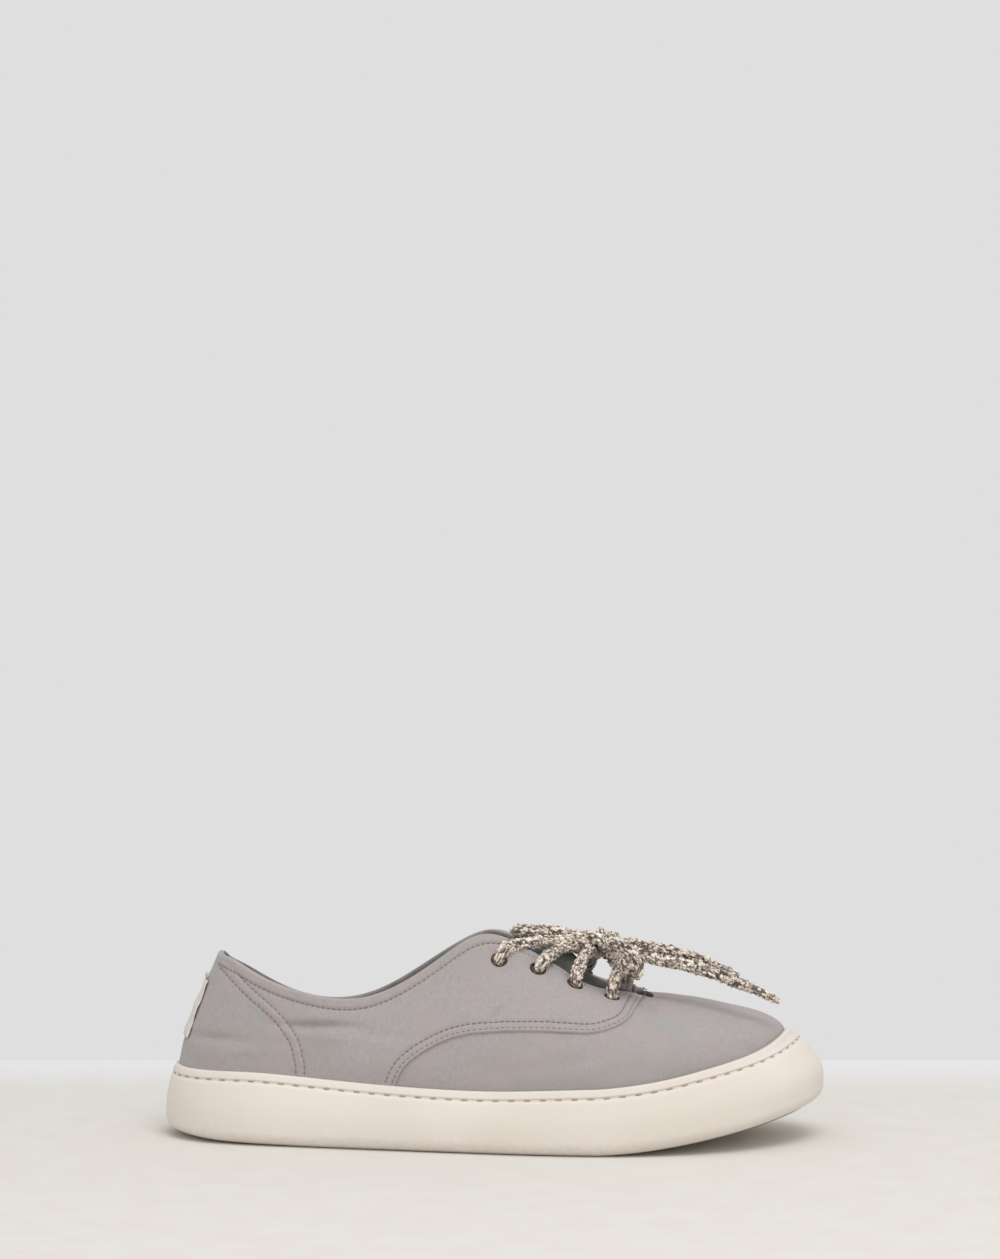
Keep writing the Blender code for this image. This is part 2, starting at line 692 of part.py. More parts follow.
def tube(name, route, material):
    """A closed round tube as a mesh, for lengths of lace that are joined to each other."""
    sides = 8
    points = smooth_route(route, 1.2 * LACE_DIAMETER)
    ways = np.gradient(points, axis=0)
    side = Vector((0, 0, 1)).cross(Vector(ways[0])).normalized()
    rings = []
    for point, way in zip(points, ways):
        way = Vector(way).normalized()
        side = (side - way * side.dot(way)).normalized()
        other = way.cross(side)
        turns = [2 * math.pi * i / sides for i in range(sides)]
        ring = [side * math.cos(turn) + other * math.sin(turn) for turn in turns]
        rings.append(np.array([Vector(point) + spoke * LACE_DIAMETER / 2 for spoke in ring]))
    return loft(name, rings, material, joined=False)


def lace_strands(material, eyelets):
    """A strand from over each eyelet to the gathering under the knot, all one piece."""
    low = KNOT_CENTRE.z - KNOT_SIZE.z / 2 - GAP - LACE_DIAMETER / 2
    gathering = [
        Vector((KNOT_CENTRE.x + share * KNOT_SIZE.x, 0, low + rise * LACE_DIAMETER))
        for share, rise in GATHERING
    ]
    hub = tube("lace_strands", gathering, material)
    over = LACE_DIAMETER / 2 + 2 * EYELET_METAL + 3 * GAP
    for number, frame in enumerate(eyelets):
        start = frame @ Vector((0, 0, over))
        place, outer_arch, inner_arch = STRANDS[number % EYELET_COUNT]
        arch, crest = (outer_arch, 0.8) if number < EYELET_COUNT else (inner_arch, 0.5)
        end = gathering[0].lerp(gathering[-1], place)
        route = []
        for share in (0, 0.25, 0.5, 0.75, 1):
            lift = arch * math.sin(math.pi * share**crest)
            route.append(start.lerp(end, share) + Vector((0, 0, lift)))
        cut(hub, tube(f"lace_strand_{number}", route, material), "UNION")
    return hub


def knot(material):
    made = bmesh.new()
    bmesh.ops.create_uvsphere(made, u_segments=12, v_segments=8, radius=0.5)
    for corner in made.verts:
        corner.co = KNOT_CENTRE + Vector(a * b for a, b in zip(corner.co, KNOT_SIZE))
    mesh = bpy.data.meshes.new("lace_knot")
    made.to_mesh(mesh)
    made.free()
    mesh.materials.append(material)
    mesh.shade_smooth()
    shape = bpy.data.objects.new("lace_knot", mesh)
    bpy.context.scene.collection.objects.link(shape)


# The gathering runs under the knot: shares of the knot's length, and heights in lace diameters.
GATHERING = [(-0.75, 0.30), (-0.35, 0.0), (0.0, -0.15), (0.40, -0.45)]

# Where each strand joins the gathering, from its back end to its front, and how high it arches
# on the outer side and on the inner side.
STRANDS = [
    (0.06, 0.0095, 0.0066),
    (0.28, 0.0060, 0.0050),
    (0.55, 0.0026, 0.0030),
    (0.92, 0.0010, 0.0010),
]

# Routes of the free lace, in metres.
CORD_ROUTES = {
    "lace_loop_back": [
        (0.03505, 0.00000, 0.07787),
        (0.02750, 0.00060, 0.08060),
        (0.01900, 0.00060, 0.08160),
        (0.01200, 0.00160, 0.08140),
        (0.00860, 0.00520, 0.08120),
        (0.01200, 0.00890, 0.08120),
        (0.01900, 0.00980, 0.08120),
        (0.02700, 0.00990, 0.08030),
        (0.03400, 0.00960, 0.07890),
        (0.03859, 0.00802, 0.07786),
    ],
    "lace_loop_near": [
        (0.04623, -0.00742, 0.07712),
        (0.04820, -0.01200, 0.07820),
        (0.05150, -0.01680, 0.07780),
        (0.05600, -0.02000, 0.07450),
        (0.05840, -0.02050, 0.07020),
        (0.05780, -0.01780, 0.06740),
        (0.05430, -0.01300, 0.06760),
        (0.05080, -0.00920, 0.06960),
        (0.04799, -0.00619, 0.07141),
    ],
    "lace_end_long": [
        (0.05280, -0.00271, 0.07446),
        (0.05850, -0.00530, 0.07320),
        (0.06600, -0.00790, 0.07160),
        (0.07600, -0.00850, 0.06980),
        (0.08600, -0.00790, 0.06700),
        (0.09600, -0.00690, 0.06340),
        (0.10600, -0.00600, 0.05900),
        (0.11400, -0.00550, 0.05500),
    ],
    "lace_end_short": [
        (0.05436, 0.00490, 0.07629),
        (0.05800, 0.00260, 0.07600),
        (0.06600, -0.00040, 0.07500),
        (0.07600, -0.00150, 0.07270),
        (0.08500, -0.00140, 0.06990),
        (0.09300, -0.00050, 0.06680),
        (0.09800, 0.00050, 0.06450),
    ],
}


def build():
    for old in list(bpy.data.objects):
        bpy.data.objects.remove(old, do_unlink=True)
    rubber = finish("cream_rubber", (0.78, 0.68, 0.57), 0.55)
    canvas = finish("grey_canvas", (0.36, 0.33, 0.315), 0.9)
    foam = finish("insole_foam", (0.50, 0.46, 0.42), 0.95)
    tape = finish("woven_tape", (0.62, 0.60, 0.56), 0.9)
    bronze = finish("bronze", (0.20, 0.15, 0.10), 0.4, 1.0)
    marl = finish("marled_lace", (0.32, 0.29, 0.24), 0.95)
    frames = eyelet_frames()
    outsole(rubber)
    insole(foam)
    upper(canvas, frames)
    tongue(canvas)
    heel_label(tape)
    for number, frame in enumerate(frames):
        row = "outer" if number < EYELET_COUNT else "inner"
        eyelet(f"eyelet_{row}_{number % EYELET_COUNT + 1}", frame, bronze)
    lace_strands(marl, frames)
    knot(marl)
    for name, route in CORD_ROUTES.items():
        cord(name, route, marl)


build()
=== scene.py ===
"""A right barefoot shoe: grey canvas on a cream rubber cup sole, tied with a marled lace.

The toe points along +X, the outer side of the foot faces -Y, and the sole stands on Z = 0. Metres.
"""

import math

import bpy
import numpy as np
from mathutils import Matrix, Vector
from mathutils.kdtree import KDTree


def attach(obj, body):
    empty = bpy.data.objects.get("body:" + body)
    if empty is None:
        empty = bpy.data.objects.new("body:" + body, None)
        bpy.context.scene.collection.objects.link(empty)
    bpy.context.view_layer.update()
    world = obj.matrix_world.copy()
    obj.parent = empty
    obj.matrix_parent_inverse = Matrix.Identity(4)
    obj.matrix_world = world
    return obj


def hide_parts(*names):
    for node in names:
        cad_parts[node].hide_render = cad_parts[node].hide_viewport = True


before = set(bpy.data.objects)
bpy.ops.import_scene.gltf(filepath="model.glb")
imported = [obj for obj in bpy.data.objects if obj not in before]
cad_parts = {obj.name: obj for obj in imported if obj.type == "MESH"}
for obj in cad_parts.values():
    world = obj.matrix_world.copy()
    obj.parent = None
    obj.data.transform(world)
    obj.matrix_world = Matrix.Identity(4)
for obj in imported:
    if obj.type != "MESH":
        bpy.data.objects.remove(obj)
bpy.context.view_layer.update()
MM = 0.001


# Camera: level, a little above the shoe and a long step away from its outer side, with a long lens,
# turned slightly so that the toe comes nearer.
camera_lens = bpy.data.cameras.new("camera")
camera_lens.lens = 108
camera_lens.sensor_width = 36
camera_lens.sensor_fit = "HORIZONTAL"
camera_lens.clip_start = 0.01
camera = bpy.data.objects.new("camera", camera_lens)
camera.location = (0.0865, -1.1969, 0.2023)
camera.rotation_euler = (math.radians(90), 0, math.radians(4))
bpy.context.scene.collection.objects.link(camera)
bpy.context.scene.camera = camera
bpy.context.scene.view_settings.view_transform = "Standard"


# Lace: a thick round braid of black and cream yarns. The strands rise from the eyelets to the knot; the
# bow has one loop lying back over the tongue, one drooping to the near side, and two loose ends.
class Wire:
    """An output of a shader node. Sums of wires build the node tree."""

    def __init__(self, tree, socket=None):
        self.tree = tree
        self.socket = socket

    def node(self, kind, settings=(), inputs=(), output=0):
        made = self.tree.nodes.new("ShaderNode" + kind)
        for name, value in dict(settings).items():
            setattr(made, name, value)
        for name, value in dict(inputs).items():
            if isinstance(value, Wire):
                self.tree.links.new(value.socket, made.inputs[name])
            else:
                made.inputs[name].default_value = value
        return Wire(self.tree, made.outputs[output])

    def math(self, operation, *values):
        return self.node("Math", {"operation": operation}, enumerate(values))

    def __add__(self, other):
        return self.math("ADD", self, other)

    def __sub__(self, other):
        return self.math("SUBTRACT", self, other)

    def __mul__(self, other):
        return self.math("MULTIPLY", self, other)

    def __truediv__(self, other):
        return self.math("DIVIDE", self, other)

    __radd__ = __add__
    __rmul__ = __mul__

    def sin(self):
        return self.math("SINE", self)

    def abs(self):
        return self.math("ABSOLUTE", self)

    def rise(self, low, high):
        """0 below low, 1 above high, and smooth between."""
        inputs = {0: self, 1: low, 2: high, 3: 0.0, 4: 1.0}
        return self.node("MapRange", {"interpolation_type": "SMOOTHSTEP"}, inputs)

    def mix(self, first, second):
        """The first colour where this is 0, and the second where it is 1."""
        return self.node("Mix", {"data_type": "RGBA"}, {0: self, 6: first, 7: second}, output=2)

    def vector(self, x, y, z=0.0):
        return self.node("CombineXYZ", (), {0: x, 1: y, 2: z})

    def parts(self):
        made = self.tree.nodes.new("ShaderNodeSeparateXYZ")
        self.tree.links.new(self.socket, made.inputs[0])
        return [Wire(self.tree, out) for out in made.outputs]

    def noise(self, scale, detail=2.0, roughness=0.5):
        inputs = {"Vector": self, "Scale": scale, "Detail": detail, "Roughness": roughness}
        return self.node("TexNoise", (), inputs)

    def bump(self, distance, strength=1.0):
        return self.node("Bump", (), {"Height": self, "Distance": distance, "Strength": strength})

    def lay(self):
        """Where a point lies on its own cloth, cord or rubber, in metres along and across."""
        return self.node("UVMap", {"uv_map": "lay"})

    def place(self):
        """Where a point is in the shoe, in metres."""
        return self.node("TexCoord", (), (), output="Object")


def colour(red, green, blue):
    """A linear colour from the tones seen, 0 to 255."""
    tones = [tone / 255 for tone in (red, green, blue)]
    return (*[tone / 12.92 if tone < 0.04045 else ((tone + 0.055) / 1.055) ** 2.4 for tone in tones], 1.0)


def material(name, even, varied):
    """A material from its even settings, and from wires that vary over the surface."""
    made = bpy.data.materials.new(name)
    made.use_nodes = True
    tree = made.node_tree
    shader = tree.nodes["Principled BSDF"]
    for socket, value in even.items():
        shader.inputs[socket].default_value = value
    for socket, wire in varied(Wire(tree)).items():
        tree.links.new(wire.socket, shader.inputs[socket])
    return made


class Making:
    """Grids of points, gathered into one mesh piece."""

    def __init__(self):
        self.points = []
        self.faces = []
        self.lays = []

    def grid(self, points, lay, around=False, caps=False):
        """A surface through rows of points. Its lay has one column more where it closes on itself."""
        rows, columns = points.shape[:2]
        first = sum(len(block) for block in self.points)
        index = first + np.arange(rows * columns).reshape(rows, columns)
        spots = np.arange(rows * lay.shape[1]).reshape(rows, lay.shape[1])
        if around:
            index = np.concatenate([index, index[:, :1]], axis=1)
        corners = [index[:-1, :-1], index[:-1, 1:], index[1:, 1:], index[1:, :-1]]
        places = [spots[:-1, :-1], spots[:-1, 1:], spots[1:, 1:], spots[1:, :-1]]
        faces = np.stack([corner.ravel() for corner in corners], axis=1)
        places = np.stack([place.ravel() for place in places], axis=1)
        self.points.append(points.reshape(-1, 3))
        self.faces += faces.tolist()
        self.lays.append(lay.reshape(-1, 2)[places.ravel()])
        if caps:
            for ring, row in ((index[0, :columns][::-1], 0), (index[-1, :columns], -1)):
                self.faces.append(ring.tolist())
                self.lays.append(np.repeat(lay[row, :1], columns, axis=0))
        return self

    def piece(self, name, finish, slot, *nodes):
        """The mesh piece, riding on the shoe, in place of the named solids."""
        mesh = bpy.data.meshes.new(name)
        mesh.from_pydata(np.concatenate(self.points).tolist(), [], self.faces)
        mesh.uv_layers.new(name="lay").data.foreach_set("uv", np.concatenate(self.lays).ravel())
        mesh.shade_smooth()
        mesh.materials.append(finish)
        made = bpy.data.objects.new(name, mesh)
        bpy.context.scene.collection.objects.link(made)
        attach(made, "root")
        if nodes:
            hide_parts(*nodes)
        return made


def run_of(points):
    """How far along its line each point is."""
    return np.concatenate([[0], np.linalg.norm(np.diff(points, axis=0), axis=1).cumsum()])


def at_runs(places, run, values):
    """A line's values at the places along it."""
    return np.stack([np.interp(places, run, column) for column in values.T], axis=1)


def tree_of(points):
    """The points, kept so that the ones near a spot are found fast."""
    tree = KDTree(len(points))
    for index, point in enumerate(points):
        tree.insert(point, index)
    tree.balance()
    return tree


def between(rows, bends, left, after):
    """Points of a cubic curve through rows, a share of the way from the left row to the next."""
    right = (left + 1) % len(rows)
    before = 1 - after
    straight = before * rows[left] + after * rows[right]
    return straight + ((before**3 - before) * bends[left] + (after**3 - after) * bends[right]) / 6


def smooth_route(points, spacing):
    """Evenly spaced points on one smooth curve through the route's own points."""
    points = np.array(points, float)
    count = len(points)
    system = 4 * np.eye(count) + np.eye(count, k=1) + np.eye(count, k=-1)
    system[0, :2] = (1, 0)
    system[-1, -2:] = (0, 1)
    bend = np.zeros((count, 3))
    bend[1:-1] = 6 * (points[:-2] - 2 * points[1:-1] + points[2:])
    bend = np.linalg.solve(system, bend)
    places = np.linspace(0, count - 1, 60 * (count - 1) + 1)
    left = np.minimum(places.astype(int), count - 2)
    fine = between(points, bend, left, (places - left)[:, None])
    run = run_of(fine)
    return at_runs(np.linspace(0, run[-1], max(4, round(run[-1] / spacing) + 1)), run, fine)


def unit(vectors):
    return vectors / np.maximum(np.linalg.norm(vectors, axis=-1, keepdims=True), 1e-12)


def smooth(values, low, high):
    """0 below low, 1 above high, and smooth between."""
    t = np.clip((values - low) / (high - low), 0, 1)
    return t * t * (3 - 2 * t)


def rings_along(path, radii, sides):
    """Rings of points round a path, without a twist of their own."""
    ways = unit(np.gradient(path, axis=0))
    side = unit(np.cross(ways[0], (0.3, 0.1, 1.0)))
    turns = np.linspace(0, 2 * np.pi, sides, endpoint=False)
    rings = []
    for point, way, radius in zip(path, ways, radii):
        side = unit(side - way * side.dot(way))
        other = np.cross(way, side)
        rings.append(point + np.outer(np.cos(turns) * radius, side) + np.outer(np.sin(turns) * radius, other))
    return np.array(rings)


LACE = 5.2 * MM
KNOB = 1.12 * MM
KNOB_RELIEF = 0.95 * MM
KNOB_STRETCH = 0.75
HAIR_PITCH = 0.55 * MM
lace_random = np.random.default_rng(5)


def knobs_near(spots, knobs):
    """For each spot the nearest knob, how far it is, and how much further the next one is."""
    tree = tree_of(knobs)
    near = [tree.find_n(spot, 2) for spot in spots]
    index = np.array([found[0][1] for found in near])
    gap = np.array([found[0][2] for found in near])
    edge = np.array([found[1][2] - found[0][2] for found in near])
    return index, gap, edge


def tube(making, path, radii, lay, sides, caps=True):
    making.grid(rings_along(path, radii, sides), lay, around=True, caps=caps)


def braid(making, route, taper=()):
    """A length of the lace: uneven loops of yarn, each of one tone. Taper thins a frayed end."""
    step = 0.38 * MM
    sides = 40
    path = smooth_route(route, step)
    run = np.linspace(0, len(path) * step, len(path))
    turn = np.linspace(0, 1, sides + 1)
    over, round_it = np.meshgrid(run, turn, indexing="ij")
    radius = LACE / 2
    round_it = round_it * 2 * np.pi
    flat = np.stack([over * KNOB_STRETCH, radius * np.cos(round_it), radius * np.sin(round_it)], axis=-1)
    count = int(run[-1] * 2 * np.pi * radius / KNOB**2)
    knob_turn = lace_random.uniform(0, 2 * np.pi, count)
    knob_run = lace_random.uniform(0, KNOB_STRETCH * run[-1], count)
    knobs = np.stack([knob_run, radius * np.cos(knob_turn), radius * np.sin(knob_turn)], axis=1)
    index, gap, edge = knobs_near(flat.reshape(-1, 3), knobs)
    swell = lace_random.uniform(0.15, 1.0, count)[index]
    height = (swell * smooth(edge, 0, 0.55 * MM) * (1 - (gap / (1.6 * MM)) ** 2)).reshape(over.shape)
    tone = lace_random.uniform(0, 1, count)[index].reshape(over.shape)
    wander = 0.22 * MM * np.sin(over / (2.3 * MM) + 3 * np.cos(round_it))
    reach = radius - 0.55 * KNOB_RELIEF + KNOB_RELIEF * np.clip(height, 0, 1) + wander
    if taper:
        length, share = taper
        close = np.clip((run[-1] - run) / length, 0, 1)
        reach = reach * (share + (1 - share) * close**0.6)[:, None]
    reach[:, -1] = reach[:, 0]
    # The lay carries each spot's tone and its knob height. The height also sets the painted shade in the
    # crevices between the knobs.
    tube(making, path, reach[:, :-1], np.stack([tone, height], axis=-1), sides)
    for _ in range(int(run[-1] / HAIR_PITCH)):
        row = lace_random.integers(1, len(path) - 1)
        column = lace_random.integers(0, sides)
        root = rings_along(path[row:row + 2], reach[row:row + 2, :-1] * 0.97, sides)[0][column]
        out = unit(root - path[row])
        lean = unit(lace_random.normal(size=3))
        tip = root + unit(out + 0.9 * lean) * lace_random.uniform(0.5, 1.3) * MM
        middle = (root + tip) / 2 + lean * 0.25 * MM
        hair = smooth_route([root, middle, tip], 0.35 * MM)
        shade = np.full((len(hair), 4, 2), (lace_random.uniform(0, 0.9), 0.9))
        tube(making, hair, np.linspace(0.07, 0.035, len(hair)) * MM, shade, 3, caps=False)
    return path


def marled_look(wire):
    tone, height, _ = wire.lay().parts()
    fibre = wire.place().noise(2600, 3, 0.7)
    blot = wire.place().noise(900, 2, 0.6)
    shift = tone + (fibre - 0.5) * 0.30 + (blot - 0.5) * 0.25
    cream = shift.rise(0.10, 0.50).mix(colour(244, 236, 222), colour(226, 209, 194))
    brown = shift.rise(0.62, 0.72).mix(cream, colour(174, 156, 140))
    black = shift.rise(0.80, 0.86).mix(brown, colour(66, 58, 53))
    # Painted shade: where the knob height is low, in the crevices between the yarn knobs, the colour turns
    # dark brown.
    crevice_shade = height.rise(0.22, 0.0).mix(black, colour(82, 72, 65))
    grain = fibre * 0.6 + blot * 0.4
    return {"Base Color": crevice_shade, "Normal": grain.bump(0.30 * MM, 0.9)}


marl = material("marled_lace", {"Roughness": 0.95, "Sheen Weight": 0.2, "Sheen Roughness": 0.6}, marled_look)

CORD_ROUTES = {
    "lace_loop_back": [
        (0.03505, 0.0, 0.07787), (0.0275, 0.0006, 0.0806), (0.019, 0.0006, 0.0816),
        (0.012, 0.0016, 0.0814), (0.0086, 0.0052, 0.0812), (0.012, 0.0089, 0.0812),
        (0.019, 0.0098, 0.0812), (0.027, 0.0099, 0.0803), (0.034, 0.0096, 0.0789),
        (0.03859, 0.00802, 0.07786),
    ],
    "lace_loop_near": [
        (0.04623, -0.00742, 0.07712), (0.0482, -0.012, 0.0782), (0.0515, -0.0168, 0.0778),
        (0.056, -0.02, 0.0745), (0.0584, -0.0205, 0.0702), (0.0578, -0.0178, 0.0674),
        (0.0543, -0.013, 0.0676), (0.0508, -0.0092, 0.0696), (0.04799, -0.00619, 0.07141),
    ],
    "lace_end_long": [
        (0.0528, -0.00271, 0.07446), (0.0585, -0.0053, 0.0732), (0.066, -0.0079, 0.0716),
        (0.076, -0.0085, 0.0698), (0.086, -0.0079, 0.067), (0.096, -0.0069, 0.0634),
        (0.106, -0.006, 0.059), (0.114, -0.0055, 0.055),
    ],
    "lace_end_short": [
        (0.05436, 0.0049, 0.07629), (0.058, 0.0026, 0.076), (0.066, -0.0004, 0.075),
        (0.076, -0.0015, 0.0727), (0.085, -0.0014, 0.0699), (0.093, -0.0005, 0.0668),
        (0.098, 0.0005, 0.0645),
    ],
}
KNOT = np.array((0.0442, 0.0005, 0.0755))
knot_making = Making()
KNOT_WRAPS = [
    (-0.0060, 0.0007, 0.0034, 0.0016),
    (0.0002, 0.0014, 0.0040, -0.0014),
    (0.0060, -0.0004, 0.0044, -0.0024),
]
for offset, height, radius, tilt in KNOT_WRAPS:
    braid(knot_making, [
        KNOT + (
            offset + tilt * math.sin(turn), radius * math.cos(turn) * 1.1, height + radius * math.sin(turn)
        )
        for turn in np.linspace(-1.2, 5.6, 11)
    ])
KNOT_LAYS = [
    [(-0.0100, 0.0010, 0.0034), (-0.0050, -0.0046, 0.0044), (0.0010, -0.0066, 0.0026),
     (0.0060, -0.0050, -0.0014), (0.0092, -0.0020, -0.0016)],
    [(-0.0072, 0.0066, 0.0022), (0.0000, 0.0035, 0.0010), (0.0092, 0.0042, 0.0008)],
]
for route in KNOT_LAYS:
    braid(knot_making, KNOT + route)
knot = knot_making.piece("lace_knot_wraps", marl, "marled_lace", "lace_knot")
for node, route in CORD_ROUTES.items():
    free_end = node.startswith("lace_end")
    cord_making = Making()
    braid(cord_making, route, (20 * MM, 0.42) if free_end else ())
    path = smooth_route(route, 2 * MM)
    cord = cord_making.piece(node + "_braid", marl, "marled_lace", node)
    float(run_of(path)[-1])


# Form of the foot: the sole's widest line and the edge of collar and throat, by stations round the shoe
# from the heel over the outer side to the toe and back. The canvas runs between them on smooth curves.
SOLE_LENGTH = 264 * MM
BALL_WIDTH = 102 * MM
WALL_HEIGHT = 27 * MM
SOLE_FLOOR = 6.5 * MM
TOE_SPRING = 15 * MM
HEEL_LIFT = 1.2 * MM
RIM_LEAN = 3.5 * MM
TOE_LEAN = 13 * MM
LIP_WIDTH = 2.7 * MM
GAP = 0.3 * MM
HEEL_HEIGHT = 72.8 * MM
COLLAR_HEIGHT = 58 * MM
INSTEP_HEIGHT = 83.2 * MM
VAMP_HEIGHT = 57 * MM
COLLAR_WIDTH = 57 * MM
THROAT_WIDTH = 24 * MM
MEDIAL_DROP = 5 * MM
THROAT_CROWN = 1.2 * MM
UPPER_SWELL = 3 * MM
CANVAS = 1.8 * MM
QUARTER_STEP = 0.8 * MM
COUNTER_STEP = 0.5 * MM

# Along and across the sole, the rim's height and its lean.
SOLE_ROUND = np.array([
    (0, 0, 1, 0), (0.02, -0.165, 1.01, 0), (0.074, -0.285, 1.04, 0),
    (0.15, -0.345, 1.05, 0), (0.235, -0.38, 1, 0), (0.325, -0.415, 0.94, 0),
    (0.415, -0.45, 0.9, 0), (0.505, -0.483, 0.89, 0), (0.592, -0.505, 0.92, 0),
    (0.678, -0.508, 0.95, 0), (0.76, -0.48, 0.97, 0.02), (0.838, -0.415, 1, 0.15),
    (0.908, -0.31, 1, 0.45), (0.963, -0.165, 1.01, 0.8), (0.994, 0, 1.02, 1),
    (0.996, 0.15, 1.02, 0.95), (0.962, 0.29, 1.01, 0.7), (0.89, 0.4, 1, 0.35),
    (0.802, 0.458, 0.99, 0.1), (0.71, 0.47, 0.96, 0), (0.615, 0.44, 0.93, 0),
    (0.52, 0.392, 0.92, 0), (0.425, 0.355, 0.93, 0), (0.33, 0.342, 0.96, 0),
    (0.237, 0.345, 1, 0), (0.15, 0.33, 1.04, 0), (0.074, 0.275, 1.04, 0),
    (0.02, 0.16, 1.01, 0),
]) * (SOLE_LENGTH, BALL_WIDTH, WALL_HEIGHT, 1)

# The edge of collar and throat: along, across, and how far up it stands from the lowest collar, or from the
# vamp in front, to the top of the heel, or of the instep.
TOP_ROUND = [
    (0.086, 0, 1.02), (0.091, -0.36, 1), (0.115, -0.64, 0.89),
    (0.163, -0.86, 0.47), (0.232, -0.98, 0.08), (0.312, -0.98, 0),
    (0.395, -0.87, 0.38), (0.47, -0.7, 0.9), (0.524, -0.54, 0.87),
    (0.585, -0.44, 0.52), (0.645, -0.39, 0.15), (0.7, -0.35, 0.04),
    (0.726, -0.26, 0.02), (0.734, -0.12, 0), (0.7355, 0.02, 0),
    (0.734, 0.16, 0), (0.726, 0.3, 0.02), (0.7, 0.39, 0.04),
    (0.645, 0.43, 0.15), (0.585, 0.47, 0.52), (0.524, 0.56, 0.87),
    (0.47, 0.7, 0.97), (0.395, 0.86, 0.57), (0.312, 0.96, 0.07),
    (0.232, 0.97, -0.12), (0.163, 0.86, 0.17), (0.115, 0.64, 0.6),
    (0.09, 0.36, 0.87),
]

# Rise, swell, run and drop of the canvas between rim and edge.
FULLNESS = [
    (0.35, -0.8, 0.4, 0.38), (0.35, -0.5, 0.4, 0.38), (0.35, 0.1, 0.35, 0.36), (0.35, 0.3, 0.3, 0.36),
    (0.35, 0.4, 0.3, 0.36), (0.37, 0.4, 0.3, 0.36), (0.4, 0.3, 0.33, 0.38), (0.42, 0.3, 0.36, 0.38),
    (0.44, 0.3, 0.42, 0.34), (0.46, 0.3, 0.46, 0.26), (0.52, 0.3, 0.5, 0.2), (0.58, 0.2, 0.52, 0.17),
    (0.54, -0.1, 0.52, 0.19), (0.44, -0.6, 0.51, 0.23), (0.38, -0.9, 0.5, 0.25), (0.42, -0.7, 0.51, 0.23),
    (0.54, -0.2, 0.52, 0.19), (0.6, 0.2, 0.52, 0.16), (0.56, 0.3, 0.5, 0.18), (0.5, 0.3, 0.46, 0.24),
    (0.46, 0.2, 0.42, 0.32), (0.42, 0.1, 0.36, 0.36), (0.4, 0.1, 0.33, 0.36), (0.37, 0.2, 0.3, 0.36),
    (0.35, 0.3, 0.3, 0.36), (0.35, 0.3, 0.3, 0.36), (0.35, 0.1, 0.35, 0.36), (0.35, -0.5, 0.4, 0.38),
]
STATIONS = len(SOLE_ROUND)
TOE = STATIONS / 2
UP = np.array((0.0, 0.0, 1.0))


def closed_spline(rows, stations):
    """Values at the stations on the smooth closed curve through the rows, one station to a row."""
    rows = np.asarray(rows, float)
    count = len(rows)
    near = np.eye(count)
    system = 4 * near + np.roll(near, 1, axis=1) + np.roll(near, -1, axis=1)
    bend = np.linalg.solve(system, 6 * (np.roll(rows, 1, 0) - 2 * rows + np.roll(rows, -1, 0)))
    stations = np.mod(stations, count)
    left = np.floor(stations)
    return between(rows, bend, left.astype(int) % count, (stations - left)[..., None])


def top_rows():
    rows = []
    for along, across, share in TOP_ROUND:
        low = COLLAR_HEIGHT if along < 0.55 else VAMP_HEIGHT
        high = HEEL_HEIGHT if along < 0.3 else INSTEP_HEIGHT
        throat = min(1.0, max(0.0, (along - 0.47) / 0.11))
        height = low + (high - low) * share
        if across > 0:
            height -= MEDIAL_DROP * math.exp(-(((along - 0.31) / 0.20) ** 4))
        width = COLLAR_WIDTH if along < 0.5 else COLLAR_WIDTH * (1 - throat) + THROAT_WIDTH / 0.42 * throat
        rows.append((along * SOLE_LENGTH, across * width / 2, height))
    return np.array(rows)


def bottom_height(along):
    """Height of the sole's underside: flat, with a toe spring and a slight lift behind the heel."""
    share = along / SOLE_LENGTH
    spring = np.clip((share - 0.66) / 0.34, 0, 1.02) ** 1.5
    return TOE_SPRING * spring + HEEL_LIFT * np.clip((0.12 - share) / 0.12, 0, 1) ** 2


def sole_line(stations):
    """The sole's widest line: points, outward directions, rim height above the underside, and lean."""
    here = closed_spline(SOLE_ROUND, stations)
    way = (closed_spline(SOLE_ROUND, stations + 0.02) - closed_spline(SOLE_ROUND, stations - 0.02))[..., :2]
    out = unit(np.stack([way[..., 1], -way[..., 0]], axis=-1))
    lean = RIM_LEAN + (TOE_LEAN - RIM_LEAN) * np.clip(here[..., 3], 0, 1)
    return here[..., :2], out, here[..., 2], lean


def flat_point(plan, height):
    return np.concatenate([plan, np.asarray(height)[..., None]], axis=-1)


around_plan = sole_line(np.linspace(0, STATIONS, 16 * STATIONS, endpoint=False))[0]
MIDDLE = flat_point((around_plan.min(axis=0) + around_plan.max(axis=0)) / 2, 0.0)
TOP_TABLE = top_rows()


